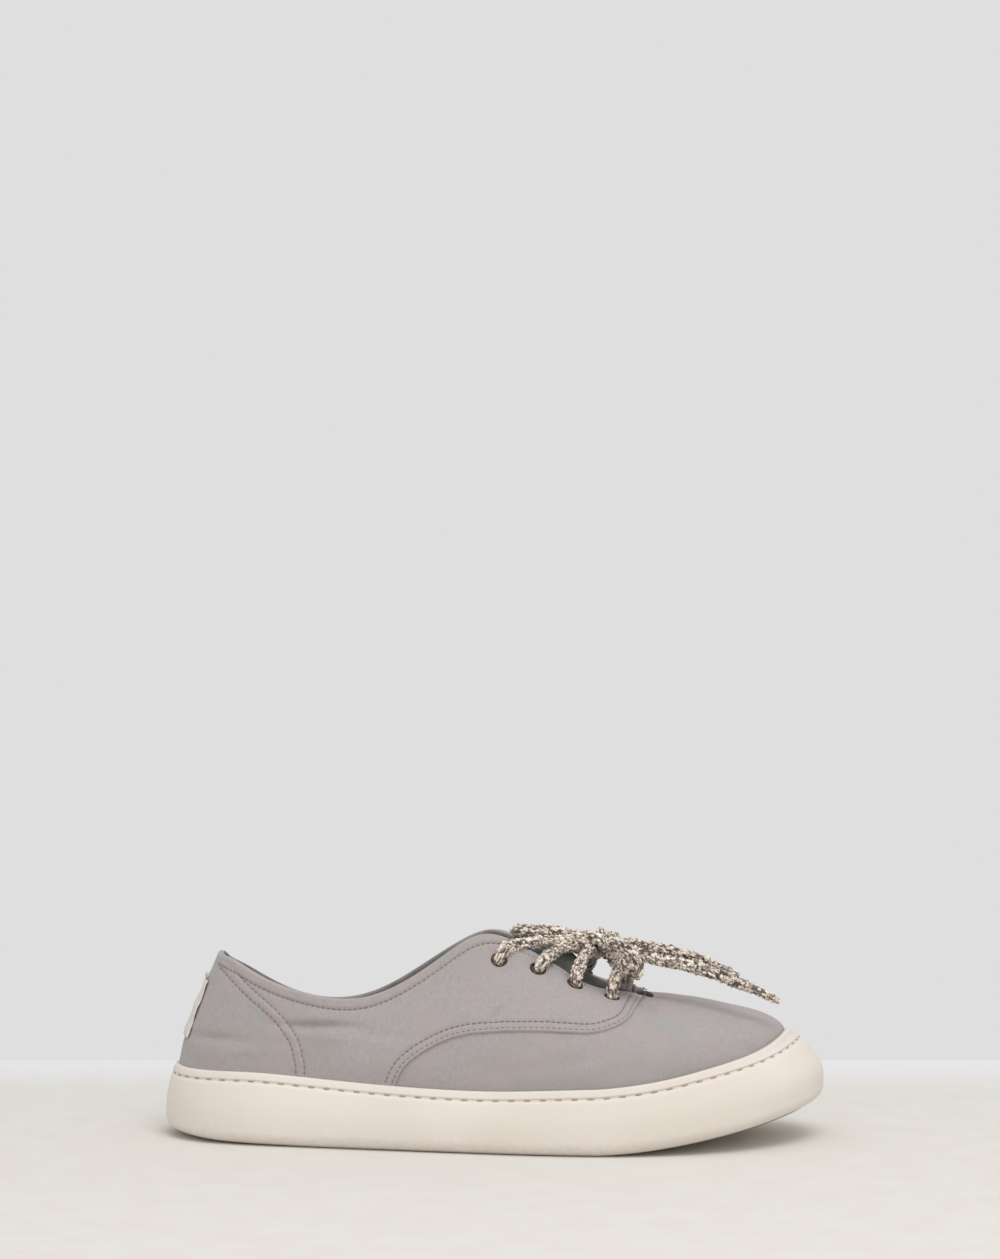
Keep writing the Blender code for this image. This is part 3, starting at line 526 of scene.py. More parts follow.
def last(stations, levels):
    """The outside of the upper. Level -1 is the cup's floor, 0 the rim, 1 the edge of collar and throat,
    and 2 the middle of the throat, where the closed form of the foot runs on under the laces."""
    stations, levels = np.broadcast_arrays(np.asarray(stations, float), np.asarray(levels, float))
    plan, out, wall, lean = sole_line(stations)
    height = bottom_height(plan[..., 0]) + wall
    plan = plan - out * (lean + LIP_WIDTH)[..., None]
    flare = 0.35 * (lean - RIM_LEAN)
    foot = plan + out * flare[..., None]
    depth = height - (bottom_height(foot[..., 0]) + SOLE_FLOOR + GAP)
    low = flat_point(plan, height)
    out = flat_point(out, 0 * height)
    down = np.clip(-levels, 0, 1)[..., None]
    skirt = low + out * down * flare[..., None] - down * depth[..., None] * UP

    top = closed_spline(TOP_TABLE, stations)
    full = closed_spline(FULLNESS, stations)
    rise = (top - low)[..., 2:]
    first = low + UP * full[..., :1] * rise + out * full[..., 1:2] * UPPER_SWELL
    second = top + (low - top) * (1, 1, 0) * full[..., 2:3] - UP * full[..., 3:4] * rise
    t = np.clip(levels, 0, 1)[..., None]
    s = 1 - t
    side = s**3 * low + 3 * s**2 * t * first + 3 * s * t**2 * second + t**3 * top

    middle = (top + closed_spline(TOP_TABLE, STATIONS - stations)) / 2
    near_toe = np.clip(1 - np.abs(stations - TOE) / 4, 0, 1)[..., None]
    middle = middle - near_toe**2 * 0.035 * SOLE_LENGTH * np.array((1, 0, 0)) + UP * THROAT_CROWN
    knee = (top + middle) / 2
    knee[..., 2] = middle[..., 2]
    t = np.clip(levels - 1, 0, 1)[..., None]
    s = 1 - t
    throat = s**2 * top + 2 * s * t * knee + t**2 * middle
    form = np.where(levels[..., None] < 0, skirt, np.where(levels[..., None] > 1, throat, side))
    return form - MIDDLE


def directions(stations, levels):
    """The ways along the shoe, up the canvas and out of it."""
    step = 0.02
    along = last(stations + step, levels) - last(stations - step, levels)
    upward = last(stations, np.minimum(levels + step, 2)) - last(stations, np.maximum(levels - step, -1))
    return unit(along), unit(upward), unit(np.cross(along, upward))


def skin(stations, levels, lift):
    """Points off the last along its outward normal; a negative lift goes into the shoe."""
    return last(stations, levels) + directions(stations, levels)[2] * np.asarray(lift)[..., None]


def level_below_edge(stations, distance):
    """The levels that lie the distance down the canvas from its edge."""
    levels = np.linspace(1, -0.4, 281)
    found = []
    for station in np.atleast_1d(stations):
        found.append(np.interp(distance, run_of(last(station, levels))[1:], levels[1:]))
    return np.array(found)


# Cup sole: one cream rubber cup with a rounded foot, a wall that leans in over the toe, a stitching
# channel under its lip, and bowed flex grooves across the tread.
EDGE_ROUND = 5.5 * MM
CHANNEL_DROP = 3.4 * MM
CHANNEL_WIDTH = 1.6 * MM
CHANNEL_DEPTH = 0.7 * MM
LIP_ROUND = 0.9 * MM
TREAD_PITCH = 13.5 * MM
TREAD_WIDTH = 2.2 * MM
TREAD_DEPTH = 1.2 * MM
TREAD_MARGIN = 10 * MM
TREAD_BOW = 10 * MM
TREAD_START = 32.5 * MM
TREAD_BARS = 14.5
SOLE_COLUMNS = 392


def wall_point(stations, below_rim, into=0.0):
    """A point of the outer wall, so far below the rim and so far into the rubber."""
    plan, out, wall, lean = sole_line(stations)
    share = 1 - below_rim / (wall - EDGE_ROUND)
    lean_in = lean * np.clip((share - 0.25) / 0.75, 0, 1) ** 1.6
    inset = lean_in + into
    return flat_point(plan - out * inset[..., None], bottom_height(plan[..., 0]) + wall - below_rim) - MIDDLE


def rubber_look(wire):
    x, y, z = wire.place().parts()
    cloud = wire.place().noise(18, 3, 0.5)
    fine = wire.place().noise(1400, 2, 0.6)
    rubber_mottle = wire.place().noise(420, 4, 0.65)
    tone = cloud.rise(0.35, 0.68).mix(colour(226, 218, 210), colour(221, 212, 202))
    # The wall is darker and rougher in patches towards its bottom, below 12 mm.
    low = z.rise(0.012, 0.0) * rubber_mottle.rise(0.40, 0.66) * 0.25
    tone = low.mix(tone, colour(192, 180, 165))
    specks = (rubber_mottle * 0.6 + fine * 0.4).rise(0.66, 0.72) * 0.35
    tone = specks.mix(tone, colour(182, 169, 152))
    rough = 0.50 + cloud * 0.14 + low * 0.3
    skin_bump = (fine * 0.5 + wire.place().noise(260, 2, 0.5)).bump(0.05 * MM, 0.6)
    return {"Base Color": tone, "Roughness": rough, "Normal": skin_bump}


rubber = material(
    "cream_rubber",
    {"Subsurface Weight": 0.08, "Subsurface Radius": (0.004, 0.003, 0.002), "Specular IOR Level": 0.35},
    rubber_look,
)
sole_stations = np.arange(SOLE_COLUMNS) * STATIONS / SOLE_COLUMNS
sole_plan, sole_out, sole_wall, sole_lean = sole_line(sole_stations)
sole_low = bottom_height(sole_plan[:, 0])


def sole_ring(inset, height):
    return flat_point(sole_plan - sole_out * np.asarray(inset)[..., None], height) - MIDDLE


def heel_roll(along):
    """How far the back of the heel is rounded off underneath."""
    return 1.5 * MM * np.clip((0.26 - along / SOLE_LENGTH) / 0.26, 0, 1) ** 1.5


foot_lift = heel_roll(sole_plan[:, 0])
sole_rings = [sole_ring(EDGE_ROUND + 0.6 * MM + 0 * sole_low, sole_low + foot_lift + 0.02 * MM)]
for degrees in range(0, 91, 10):
    turn = math.radians(degrees)
    inset = EDGE_ROUND * (1 - math.sin(turn)) + 0 * sole_low
    lift = foot_lift * math.cos(turn)
    sole_rings.append(sole_ring(inset, sole_low + lift + EDGE_ROUND * (1 - math.cos(turn))))
channel_foot = CHANNEL_DROP + CHANNEL_WIDTH / 2
channel_top = channel_foot - CHANNEL_WIDTH
straight = sole_wall - EDGE_ROUND
for share in (0.88, 0.76, 0.64, 0.52, 0.40):
    sole_rings.append(wall_point(sole_stations, straight * share))
sole_rings.append(wall_point(sole_stations, channel_foot + 1.2 * MM))
channel_side = [(0.25 * MM, 0), (0, 0.08 * MM), (-0.2 * MM, 0.35 * MM), (-0.45 * MM, CHANNEL_DEPTH)]
for past_edge, into in channel_side:
    sole_rings.append(wall_point(sole_stations, channel_foot + past_edge, into))
for past_edge, into in channel_side[::-1]:
    sole_rings.append(wall_point(sole_stations, channel_top - past_edge, into))
for degrees in (0, 20, 40, 60, 80, 90):
    turn = math.radians(degrees)
    inset = sole_lean + LIP_ROUND * (1 - math.cos(turn))
    sole_rings.append(sole_ring(inset, sole_low + sole_wall - LIP_ROUND * (1 - math.sin(turn))))
sole_rings.append(sole_ring(sole_lean + LIP_WIDTH - 0.6 * MM, sole_low + sole_wall - 0.05 * MM))
for level in (-0.02, -0.3, -0.6, -1):
    sole_rings.append(skin(sole_stations, level, 0.05 * MM))
cup_floor = skin(sole_stations, -1, GAP)
cup_floor[:, 2] = bottom_height(cup_floor[:, 0] + MIDDLE[0]) + SOLE_FLOOR
sole_rings.append(cup_floor)
sole_making = Making()
wall_rows = np.array(sole_rings)
wall_run = np.arange(SOLE_COLUMNS + 1) / SOLE_COLUMNS * 0.62
wall_lay = np.stack(np.meshgrid(wall_run, np.arange(len(wall_rows)) * MM), axis=-1)
sole_making.grid(wall_rows, wall_lay, around=True)

# The tread and the floor of the cup close it below and inside.
tread_line = sole_rings[0] + MIDDLE
for outline, grooved in ((tread_line, True), (cup_floor + MIDDLE, False)):
    xs = np.linspace(outline[:, 0].min() + 0.05 * MM, outline[:, 0].max() - 0.05 * MM, 420)
    split_low = np.argmin(outline[:, 0])
    rolled = np.roll(outline, -split_low, axis=0)
    split_high = np.argmax(rolled[:, 0])
    outer_side = rolled[:split_high + 1]
    inner_side = np.concatenate([rolled[split_high:], rolled[:1]])[::-1]
    y_out = np.interp(xs, outer_side[:, 0], outer_side[:, 1])
    y_in = np.interp(xs, inner_side[:, 0], inner_side[:, 1])
    shares = np.linspace(0, 1, 41)
    ys = y_out[:, None] + (y_in - y_out)[:, None] * shares
    grid_x = np.repeat(xs[:, None], len(shares), axis=1)
    heights = bottom_height(grid_x)
    if grooved:
        reach = (np.abs(y_in - y_out) / 2 - TREAD_MARGIN)[:, None]
        across = (ys - ((y_in + y_out) / 2)[:, None]) / np.maximum(reach, 1 * MM)
        along = grid_x - TREAD_BOW * (1 - across**2) - TREAD_START
        groove = np.abs((along / TREAD_PITCH + 0.5) % 1 - 0.5) * TREAD_PITCH
        depth = 1 - smooth(groove, TREAD_WIDTH / 2 - 0.35 * MM, TREAD_WIDTH / 2 + 0.2 * MM)
        depth = depth * (np.abs(across) < 1) * (reach > 2 * MM)
        inside = (along > -0.5 * TREAD_PITCH) & (along < TREAD_BARS * TREAD_PITCH)
        heights = heights + TREAD_DEPTH * depth * inside + heel_roll(grid_x)
    else:
        heights = heights + SOLE_FLOOR
    tread = np.stack([grid_x, ys, heights], axis=-1) - MIDDLE
    sole_making.grid(tread if not grooved else tread[:, ::-1], np.stack([grid_x, ys], axis=-1))
sole_making.piece("cup_sole", rubber, "cream_rubber", "outsole")


# Sole stitching: one row of heavy waxed thread in the channel under the lip, right round the shoe. It holds
# the cup to the upper, and each stitch sinks into the rubber at both ends.
def stitches(making, points, normals, pitch, length, thickness, sink, sides=6):
    """A row of stitches along a line that lies on a surface."""
    run = run_of(points)
    count = int(run[-1] / pitch)
    for number in range(count):
        centre = (number + 0.5) * run[-1] / count
        places = centre + np.linspace(-0.5, 0.5, 7) * length
        path = at_runs(places, run, points)
        out = unit(at_runs(places, run, normals))
        bow = 1 - np.abs(np.linspace(-1, 1, 7)) ** 3
        path = path + out * ((bow - 1) * (sink + thickness) + thickness * 0.25)[:, None]
        rings = rings_along(path, np.full(7, thickness / 2), sides)
        lay = np.stack(np.meshgrid(np.linspace(0, 1, sides + 1), places), axis=-1)
        making.grid(rings, lay, around=True, caps=True)


def thread_look(low, high):
    def look(wire):
        turn, along, _ = wire.lay().parts()
        twist = ((turn + along / (0.9 * MM)) * 2 * math.pi * 2).sin() * 0.5 + 0.5
        tone = (twist * 0.7 + wire.place().noise(900, 2, 0.6) * 0.4).rise(0.1, 0.9)
        return {"Base Color": tone.mix(low, high), "Normal": twist.bump(0.08 * MM, 0.7)}
    return look


sole_thread = material(
    "sole_thread", {"Roughness": 0.75}, thread_look(colour(152, 135, 118), colour(188, 171, 152))
)
channel_stations = np.linspace(0, STATIONS, 800)
channel_middle = channel_foot - CHANNEL_WIDTH / 2
channel = wall_point(channel_stations, channel_middle, CHANNEL_DEPTH)
channel_out = unit(
    np.cross(
        np.gradient(channel, axis=0),
        wall_point(channel_stations, channel_middle - 1 * MM) - wall_point(channel_stations, channel_middle),
    )
)
SOLE_PITCH = 6.1 * MM
SOLE_STITCH = 3.6 * MM
SOLE_THREAD = 0.46 * MM
sole_stitching = Making()
stitches(sole_stitching, channel, channel_out, SOLE_PITCH, SOLE_STITCH, SOLE_THREAD, 0.25 * MM)
sole_stitching.piece("sole_stitching", sole_thread, "cream_rubber")


# Canvas of the upper: a plain weave of mid grey yarns with a faint cast here and there, laid double
# where the quarters and the heel counter lap the vamp. It wrinkles where the foot bends and seams pull it.
WEAVE = 0.62 * MM


def canvas_look(light, dark):
    def look(wire):
        along, across, _ = wire.lay().parts()
        warp = along * (2 * math.pi / WEAVE)
        weft = across * (2 * math.pi / WEAVE)
        over = warp.sin() * weft.sin() * 0.5 + 0.5
        thread = (warp * 0.5).sin().abs() * 0.5 + (weft * 0.5).sin().abs() * 0.5
        slub = wire.vector(along * 260, across * 1900).noise(1.0, 2, 0.6)
        slub_too = wire.vector(along * 1900, across * 260).noise(1.0, 2, 0.6)
        cloud = wire.place().noise(26, 3, 0.55)
        warm = wire.place().noise(55, 2, 0.5)
        fibres = (slub + slub_too) * 0.5
        tone = fibres.rise(0.34, 0.66).mix(dark, light)
        tone = (over * 0.25).mix(tone, dark)
        tone = (cloud.rise(0.44, 0.62) * 0.5).mix(tone, colour(155, 157, 151))
        tone = (warm.rise(0.46, 0.66) * 0.42).mix(tone, colour(177, 160, 159))
        weave = over * 0.6 + thread * 0.5 + fibres * 0.7
        return {"Base Color": tone, "Normal": weave.bump(0.16 * MM, 0.75)}
    return look


canvas_even = {
    "Roughness": 0.93, "Sheen Weight": 0.18, "Sheen Roughness": 0.55, "Specular IOR Level": 0.2,
}
canvas = material("grey_canvas", canvas_even, canvas_look(colour(174, 167, 167), colour(160, 152, 151)))
lining = material("canvas_lining", canvas_even, canvas_look(colour(122, 116, 113), colour(104, 98, 95)))
canvas_thread = material(
    "canvas_thread", {"Roughness": 0.85}, thread_look(colour(118, 106, 103), colour(146, 135, 132))
)

# The quarter's lapped front edge and the counter's edge from the side, in shares.
QUARTER_EDGE = np.array([
    (0.352, 0.250), (0.370, 0.491), (0.388, 0.602), (0.415, 0.688), (0.456, 0.768), (0.498, 0.802),
    (0.541, 0.816), (0.597, 0.816), (0.640, 0.807), (0.667, 0.812), (0.694, 0.847), (0.711, 0.900),
    (0.719, 0.960), (0.723, 1.010), (0.725, 1.200),
]) * (SOLE_LENGTH, VAMP_HEIGHT) - (MIDDLE[0], 0)
COUNTER_EDGE = np.array([
    (0.228, 0.250), (0.2276, 0.507), (0.2257, 0.607), (0.2192, 0.714), (0.2045, 0.819), (0.1795, 0.937),
    (0.1473, 1.053), (0.1166, 1.177), (0.098, 1.24),
]) * (SOLE_LENGTH, VAMP_HEIGHT) - (MIDDLE[0], 0)


def drawn_edge(edge, side, count):
    """Stations and levels of an edge drawn from the side, from the rim up to the topline."""
    line = smooth_route(np.insert(edge, 1, 0, axis=1), 0.25 * MM)
    if side > 0:
        stations = np.linspace(0.5, TOE - 0.5, 420)
    else:
        stations = np.linspace(STATIONS - 0.5, TOE + 0.5, 420)
    levels = np.linspace(-0.05, 1.0, 210)
    table = last(stations[:, None], levels[None, :])
    near = tree_of(table.reshape(-1, 3) * (1, 0, 1))
    found = []
    for x, _, z in line:
        _, index, gap = near.find((x, 0, z))
        row, column = divmod(index, len(levels))
        if gap < 0.7 * MM:
            found.append((stations[row], levels[column]))
    found = np.array(found)
    window = np.ones(9) / 9
    padded = np.pad(found, ((4, 4), (0, 0)), mode="edge")
    found = np.stack([np.convolve(padded[:, axis], window, mode="valid") for axis in (0, 1)], axis=1)
    return resample(found, count)


def resample(line, count):
    """A line of stations and levels, evenly spaced over the canvas."""
    run = run_of(last(*line.T))
    return at_runs(np.linspace(0, run[-1], count), run, line)


def beside(line, distance):
    """The line that runs the distance beside another on the canvas, towards the topline."""
    stations, levels = line[:, 0], line[:, 1]
    points = last(stations, levels)
    out = directions(stations, levels)[2]
    way = unit(np.gradient(points, axis=0))
    aside = unit(np.cross(out, way))
    step = 0.01
    by_station = (last(stations + step, levels) - last(stations - step, levels)) / (2 * step)
    by_level = (last(stations, levels + step) - last(stations, levels - step)) / (2 * step)
    moved = line.copy()
    for row in range(len(line)):
        frame_here = np.stack([by_station[row], by_level[row]], axis=1)
        moved[row] += np.linalg.lstsq(frame_here, aside[row] * distance, rcond=None)[0]
    return moved


quarter_edges = {side: drawn_edge(QUARTER_EDGE, side, 300) for side in (1, -1)}
counter_edges = {side: drawn_edge(COUNTER_EDGE, side, 120) for side in (1, -1)}

# Creases from wear, each in its place on the outer (-1) or inner (1) side: middle along and up, slope in
# degrees, half length, half width, and depth, negative for a ridge, all in millimetres.
CREASES = [
    (-1, -67, 46.8, -3, 14, 1.5, 1.7), (-1, -64, 50.2, -4, 16, 2.6, -0.6),
    (-1, -60, 42.6, -4, 18, 2.6, -0.55), (-1, -42, 43.5, -6, 12, 2, 0.55),
    (-1, -40, 52, 10, 14, 3.5, -0.3), (-1, -108, 40.6, -4, 10, 1.8, 1.1),
    (-1, -98, 36, 3, 14, 2, -0.45), (-1, -90, 50.5, -40, 9, 2.4, 0.35),
    (-1, -112, 50, 65, 10, 3, -0.25), (-1, 3.5, 52.8, 38, 4.5, 0.9, 0.8),
    (-1, -22, 60, 40, 13, 3.4, 0.45), (-1, -12, 66, 48, 12, 3, -0.35),
    (-1, 22, 58, 20, 12, 2.6, 0.4), (-1, 28, 52.5, 8, 14, 3, -0.3),
    (-1, 64, 57.6, -8, 7, 5, 1.1), (-1, 62, 54.6, -35, 5, 1.4, 0.8),
    (-1, 67, 57.6, -20, 7, 2.6, -0.85), (-1, 78, 50, -48, 7, 2.2, 0.6),
    (-1, 88, 45, -38, 8, 3, -0.35), (-1, 40, 38, 22, 12, 3.2, 0.4),
    (-1, 22, 34, 8, 14, 2.6, 0.35), (-1, 60, 42, -12, 12, 3.5, 0.35),
    (-1, 97, 40, -35, 7, 2.6, 0.45), (1, -64, 42, 4, 15, 1.9, 1),
    (1, -58, 37.5, 2, 16, 2.4, -0.5), (1, -104, 39, -5, 10, 2, 0.6),
    (1, -18, 52, 35, 12, 2.8, 0.6), (1, 64, 57.6, -8, 7, 5, 1.1),
    (1, 61, 54, -30, 5, 1.6, 0.7), (1, 66, 56, -25, 7, 2.6, -0.7),
    (1, 82, 47, -45, 7, 2.6, 0.6), (1, 30, 34, 10, 13, 2.6, 0.45),
]


def nearest(points, line):
    """Distances from the points to the line's own points."""
    tree = tree_of(line)
    return np.array([tree.find(point)[2] for point in points.reshape(-1, 3)]).reshape(points.shape[:-1])


HEM = 4.4 * MM
QUARTER_SEAMS = (1.5 * MM, 4.1 * MM)
COUNTER_SEAMS = (0.0, 3.4 * MM)
seam_lines = []
for edges, seams in ((quarter_edges, QUARTER_SEAMS), (counter_edges, COUNTER_SEAMS)):
    for side, edge in edges.items():
        for distance in seams:
            seam_lines.append((beside(edge, side * distance) if distance else edge, 2.2 * MM))
hem_stations = np.linspace(1.2, STATIONS - 1.2, 900)
seam_lines.append((np.stack([hem_stations, level_below_edge(hem_stations, HEM)], axis=1), 2.1 * MM))
seam_points = np.concatenate([last(*line.T) for line, _ in seam_lines])


def relief(points):
    """How far the canvas stands off its even form: creases, long waves and the pull of the seams."""
    px, py, pz = np.moveaxis(points, -1, 0)
    lift = 0.30 * MM * np.sin(px * 95 + pz * 60) * np.sin(pz * 130 + 1.0)
    lift = lift + 0.16 * MM * np.sin(px * 210 - pz * 90 + 2.0)
    for side, x, z, slope, length, width, depth in CREASES:
        turn = math.radians(slope)
        dx = px / MM - x
        dz = pz / MM - z
        along = dx * math.cos(turn) + dz * math.sin(turn)
        across = dz * math.cos(turn) - dx * math.sin(turn) - 0.6 * np.sin(along / length * 1.8)
        weight = np.exp(-((along / length) ** 2) - (across / width) ** 2)
        lift = lift - depth * MM * weight * smooth(py * side, -2 * MM, 2 * MM)
    return lift * smooth(pz, 24 * MM, 34 * MM)


def lay_of(stations, levels):
    """Metres along the shoe and down from the topline, for the weave."""
    steps = np.linspace(0, STATIONS, 561)
    along = np.interp(stations, steps, run_of(last(steps, 0.5)))
    height = np.interp(stations, steps, [run_of(last(step, np.linspace(0, 1, 12)))[-1] for step in steps])
    return np.stack([along, (1 - levels) * height], axis=-1)


# Vamp and lining: the inner layer of the upper, one shell of canvas with a darker lining on its inside. It
# stands in the cup, runs from its floor up to the topline, and is cut out at collar and throat.
vamp_stations = np.linspace(0, STATIONS, 421)[:-1]
vamp_levels = np.concatenate([np.linspace(-1, -0.05, 6), np.linspace(0, 0.975, 74)])
s_grid, l_grid = np.meshgrid(vamp_stations, vamp_levels)
even_form = skin(s_grid, l_grid, 0 * s_grid)
vamp_lift = relief(even_form) - 0.05 * MM
vamp_lift -= 0.22 * MM * np.exp(-((nearest(even_form, seam_points) / (0.9 * MM)) ** 2))
vamp_outside = skin(s_grid, l_grid, vamp_lift)
vamp_inside = skin(s_grid, l_grid, -CANVAS + 0.5 * relief(even_form))
s_lay, l_lay = np.meshgrid(np.linspace(0, STATIONS, 421), vamp_levels)
vamp_lay = lay_of(s_lay, l_lay)
vamp = Making().grid(vamp_outside, vamp_lay, around=True)
vamp.piece("canvas_vamp", canvas, "grey_canvas", "upper")
lining_rows = np.concatenate([vamp_inside, vamp_outside[-1:]])[::-1]
lining_lay = np.concatenate([vamp_lay, vamp_lay[-1:]])[::-1]
Making().grid(lining_rows, lining_lay, around=True).piece("canvas_lining", lining, "grey_canvas")


# Quarters: the second layer of canvas, sewn over the vamp from the curved front seam back over the heel.
# Its top edge is turned in over collar and throat as a padded hem, with a darker facing inside.
HEM_RADIUS = (CANVAS + QUARTER_STEP) / 2


def behind_counter(points):
    """How far behind the counter's front edge the points lie."""
    fronts = []
    for line in counter_edges.values():
        edge = last(*line.T)
        edge = edge[np.argsort(edge[:, 2])]
        fronts.append(np.interp(points[..., 2], edge[:, 2], edge[:, 0]))
    return np.where(points[..., 1] < 0, *fronts) - points[..., 0]


QUARTER_COLUMNS = 800
outer_line = quarter_edges[1]
inner_line = quarter_edges[-1]
heel_out = np.linspace(outer_line[0, 0], 0, 150)
heel_in = np.linspace(STATIONS, inner_line[0, 0], 150)
foot_line = np.concatenate([
    outer_line[::-1],
    np.stack([heel_out, 0 * heel_out - 0.03], axis=1)[1:],
    np.stack([heel_in - STATIONS, 0 * heel_in - 0.03], axis=1)[1:],
    (inner_line - (STATIONS, 0))[1:],
])
foot_line = resample(foot_line, QUARTER_COLUMNS)
roll_levels = level_below_edge(foot_line[:, 0], HEM_RADIUS)
roll_levels = np.maximum(roll_levels, foot_line[:, 1])
shares = np.concatenate([np.linspace(0, 0.06, 8), np.linspace(0.06, 1, 86)[1:]])
q_stations = np.repeat(foot_line[None, :, 0], len(shares), axis=0)
q_levels = foot_line[None, :, 1] + (roll_levels - foot_line[:, 1])[None, :] * shares[:, None]
even_form = skin(q_stations, q_levels, 0 * q_stations)
from_edge = nearest(even_form, last(*foot_line.T))
from_top = nearest(even_form, last(hem_stations, 0 * hem_stations + 1))
from_seam = nearest(even_form, seam_points)
counter_line = np.concatenate([last(*edge.T) for edge in counter_edges.values()])
from_counter = nearest(even_form, counter_line)
behind = behind_counter(even_form)
counter_lift = COUNTER_STEP * smooth(np.where(behind > 0, from_counter, -from_counter), -0.5 * MM, 0.9 * MM)
quarter_lift = QUARTER_STEP + relief(even_form) + counter_lift
quarter_lift += 0.45 * MM * np.exp(-((from_edge / (1.5 * MM)) ** 2)) * smooth(q_levels, 0.02, 0.1)
quarter_lift += 0.30 * MM * smooth(from_top, HEM, HEM - 1.2 * MM)
quarter_lift -= 0.30 * MM * np.exp(-((from_seam / (0.75 * MM)) ** 2))
quarter_lift *= smooth(shares[:, None] * 40 * MM, -0.5 * MM, 0.5 * MM) * 0.999
foot_reach = run_of(last(*foot_line.T))
corner = smooth(np.minimum(foot_reach, foot_reach[-1] - foot_reach), 0.2 * MM, 3.5 * MM)
quarter_lift = quarter_lift * corner - 0.15 * MM * (1 - corner)
quarter_lift[0] = -0.15 * MM
quarter_lift[1] *= 0.75
quarter_rows = [skin(q_stations[row], q_levels[row], quarter_lift[row]) for row in range(len(shares))]
_, up_edge, out_edge = directions(foot_line[:, 0], np.minimum(roll_levels, 0.985))
roll_centre = last(foot_line[:, 0], roll_levels)
roll_out = quarter_lift[-1]
roll_in = (-CANVAS - 0.15 * MM) * corner - 0.6 * CANVAS * (1 - corner)
for degrees in range(15, 181, 15):
    turn = math.radians(degrees)
    middle_lift = (roll_out + roll_in) / 2
    radius = (roll_out - roll_in) / 2
    quarter_rows.append(
        roll_centre
        + out_edge * (middle_lift + radius * math.cos(turn))[:, None]
        + up_edge * (HEM_RADIUS * math.sin(turn) * corner)[:, None]
    )
for distance in (2 * MM, 4 * MM, 7 * MM, 10 * MM):
    facing_levels = level_below_edge(foot_line[:, 0], HEM_RADIUS + distance)
    facing_levels = facing_levels * corner + roll_levels * (1 - corner)
    facing_lift = roll_in + (0.4 * MM if distance == 10 * MM else 0)
    quarter_rows.append(skin(foot_line[:, 0], facing_levels, facing_lift))
quarter_rows = np.array(quarter_rows)
flat_rows = len(shares)
turned_in = len(quarter_rows) - flat_rows
quarter_lay = lay_of(
    np.repeat(foot_line[None, :, 0] % STATIONS, len(quarter_rows), axis=0),
    np.concatenate([q_levels, np.repeat(q_levels[-1:], turned_in, axis=0)]),
)
run_up = np.linalg.norm(np.diff(quarter_rows, axis=0), axis=-1).cumsum(axis=0)
run_over = run_up[flat_rows - 1:] - run_up[flat_rows - 2]
quarter_lay[flat_rows:, :, 1] = quarter_lay[flat_rows - 1, :, 1] - run_over
quarter_lay[..., 0] = run_of(last(foot_line[:, 0], 0.5))
last_outside = flat_rows + 6
quarters = Making().grid(quarter_rows[:last_outside + 1, ::-1], quarter_lay[:last_outside + 1, ::-1])
quarters.piece("canvas_quarters", canvas, "grey_canvas")
facing = Making().grid(quarter_rows[last_outside:, ::-1], quarter_lay[last_outside:, ::-1])
facing.piece("collar_facing", lining, "grey_canvas")


# Seams of the upper: stitches of fine thread, a shade darker than the canvas. Two rows run along each
# lapped front edge, two round the heel counter and one under the hem.
CANVAS_STITCH = 1.75 * MM
CANVAS_THREAD = 0.34 * MM
upper_stitching = Making()
for line, pitch in seam_lines:
    visible = line[(line[:, 1] > 0.01) & (line[:, 1] < 0.985)]
    from_quarter = nearest(last(*visible.T), even_form[::2, ::2].reshape(-1, 3))
    visible = visible[from_quarter < 1.1 * MM]
    flat_form = last(*visible.T)
    lift = QUARTER_STEP - 0.12 * MM + relief(flat_form)
    lift = lift + COUNTER_STEP * smooth(behind_counter(flat_form), -0.5 * MM, 0.9 * MM)
    points = skin(visible[:, 0], visible[:, 1], lift)
    normals = directions(visible[:, 0], visible[:, 1])[2]
    stitches(upper_stitching, points, normals, pitch, CANVAS_STITCH, CANVAS_THREAD, 0.08 * MM, sides=5)
upper_stitching.piece("upper_stitching", canvas_thread, "grey_canvas")


# Insole: a thin flat pad of soft foam, covered with the lining's cloth. It is cut to the floor of the cup
# and lies in it loose.
INSOLE_THICKNESS = 4 * MM
insole_stations = np.arange(200) * STATIONS / 200
insole_rim = skin(insole_stations, -0.72, -(CANVAS + 2.2 * GAP)) + MIDDLE
shares = np.concatenate([np.linspace(0, 0.06, 5), np.linspace(0.12, 1, 12)])
centre_x = np.clip(insole_rim[:, 0], 30 * MM, 230 * MM)
centre_y = np.interp(centre_x, (0, 0.12, 0.20, 0.264), (0, -0.002, -0.003, 0.006))
centre_line = np.stack([centre_x, centre_y], axis=1)
insole_rows = []
for share in shares:
    plan = insole_rim[:, :2] * (1 - share) + centre_line * share
    crown = INSOLE_THICKNESS * (0.72 + 0.28 * min(1.0, share / 0.05) ** 0.5)
    insole_rows.append(flat_point(plan, bottom_height(plan[:, 0]) + SOLE_FLOOR + GAP + crown) - MIDDLE)
insole_rows.insert(0, insole_rows[0] - UP * 3 * MM)
insole_rows = np.array(insole_rows)
insole_lay = np.concatenate([insole_rows, insole_rows[:, :1]], axis=1)[..., :2]
Making().grid(insole_rows, insole_lay, around=True).piece("insole_pad", lining, "insole_foam", "insole")


# Tongue: a soft padded strip of dark canvas, its dark tone partly the cloth's own and partly painted shade
# from the laces over it.
# It is held under the front of the throat, where it is as grey as the vamp, rises under the lace, and its
# wings are tucked behind the eyelets.
TONGUE_THICKNESS = 2.6 * MM
TONGUE_WING = 15 * MM


def tongue_look(wire):
    # Dark grey-green canvas: partly the cloth's own tone, and partly painted shade under the lace strands.
    look = canvas_look(colour(96, 99, 93), colour(76, 78, 74))(wire)
    front = wire.place().parts()[0].rise(47 * MM, 54 * MM)
    look["Base Color"] = front.mix(look["Base Color"], colour(170, 162, 157))
    return look


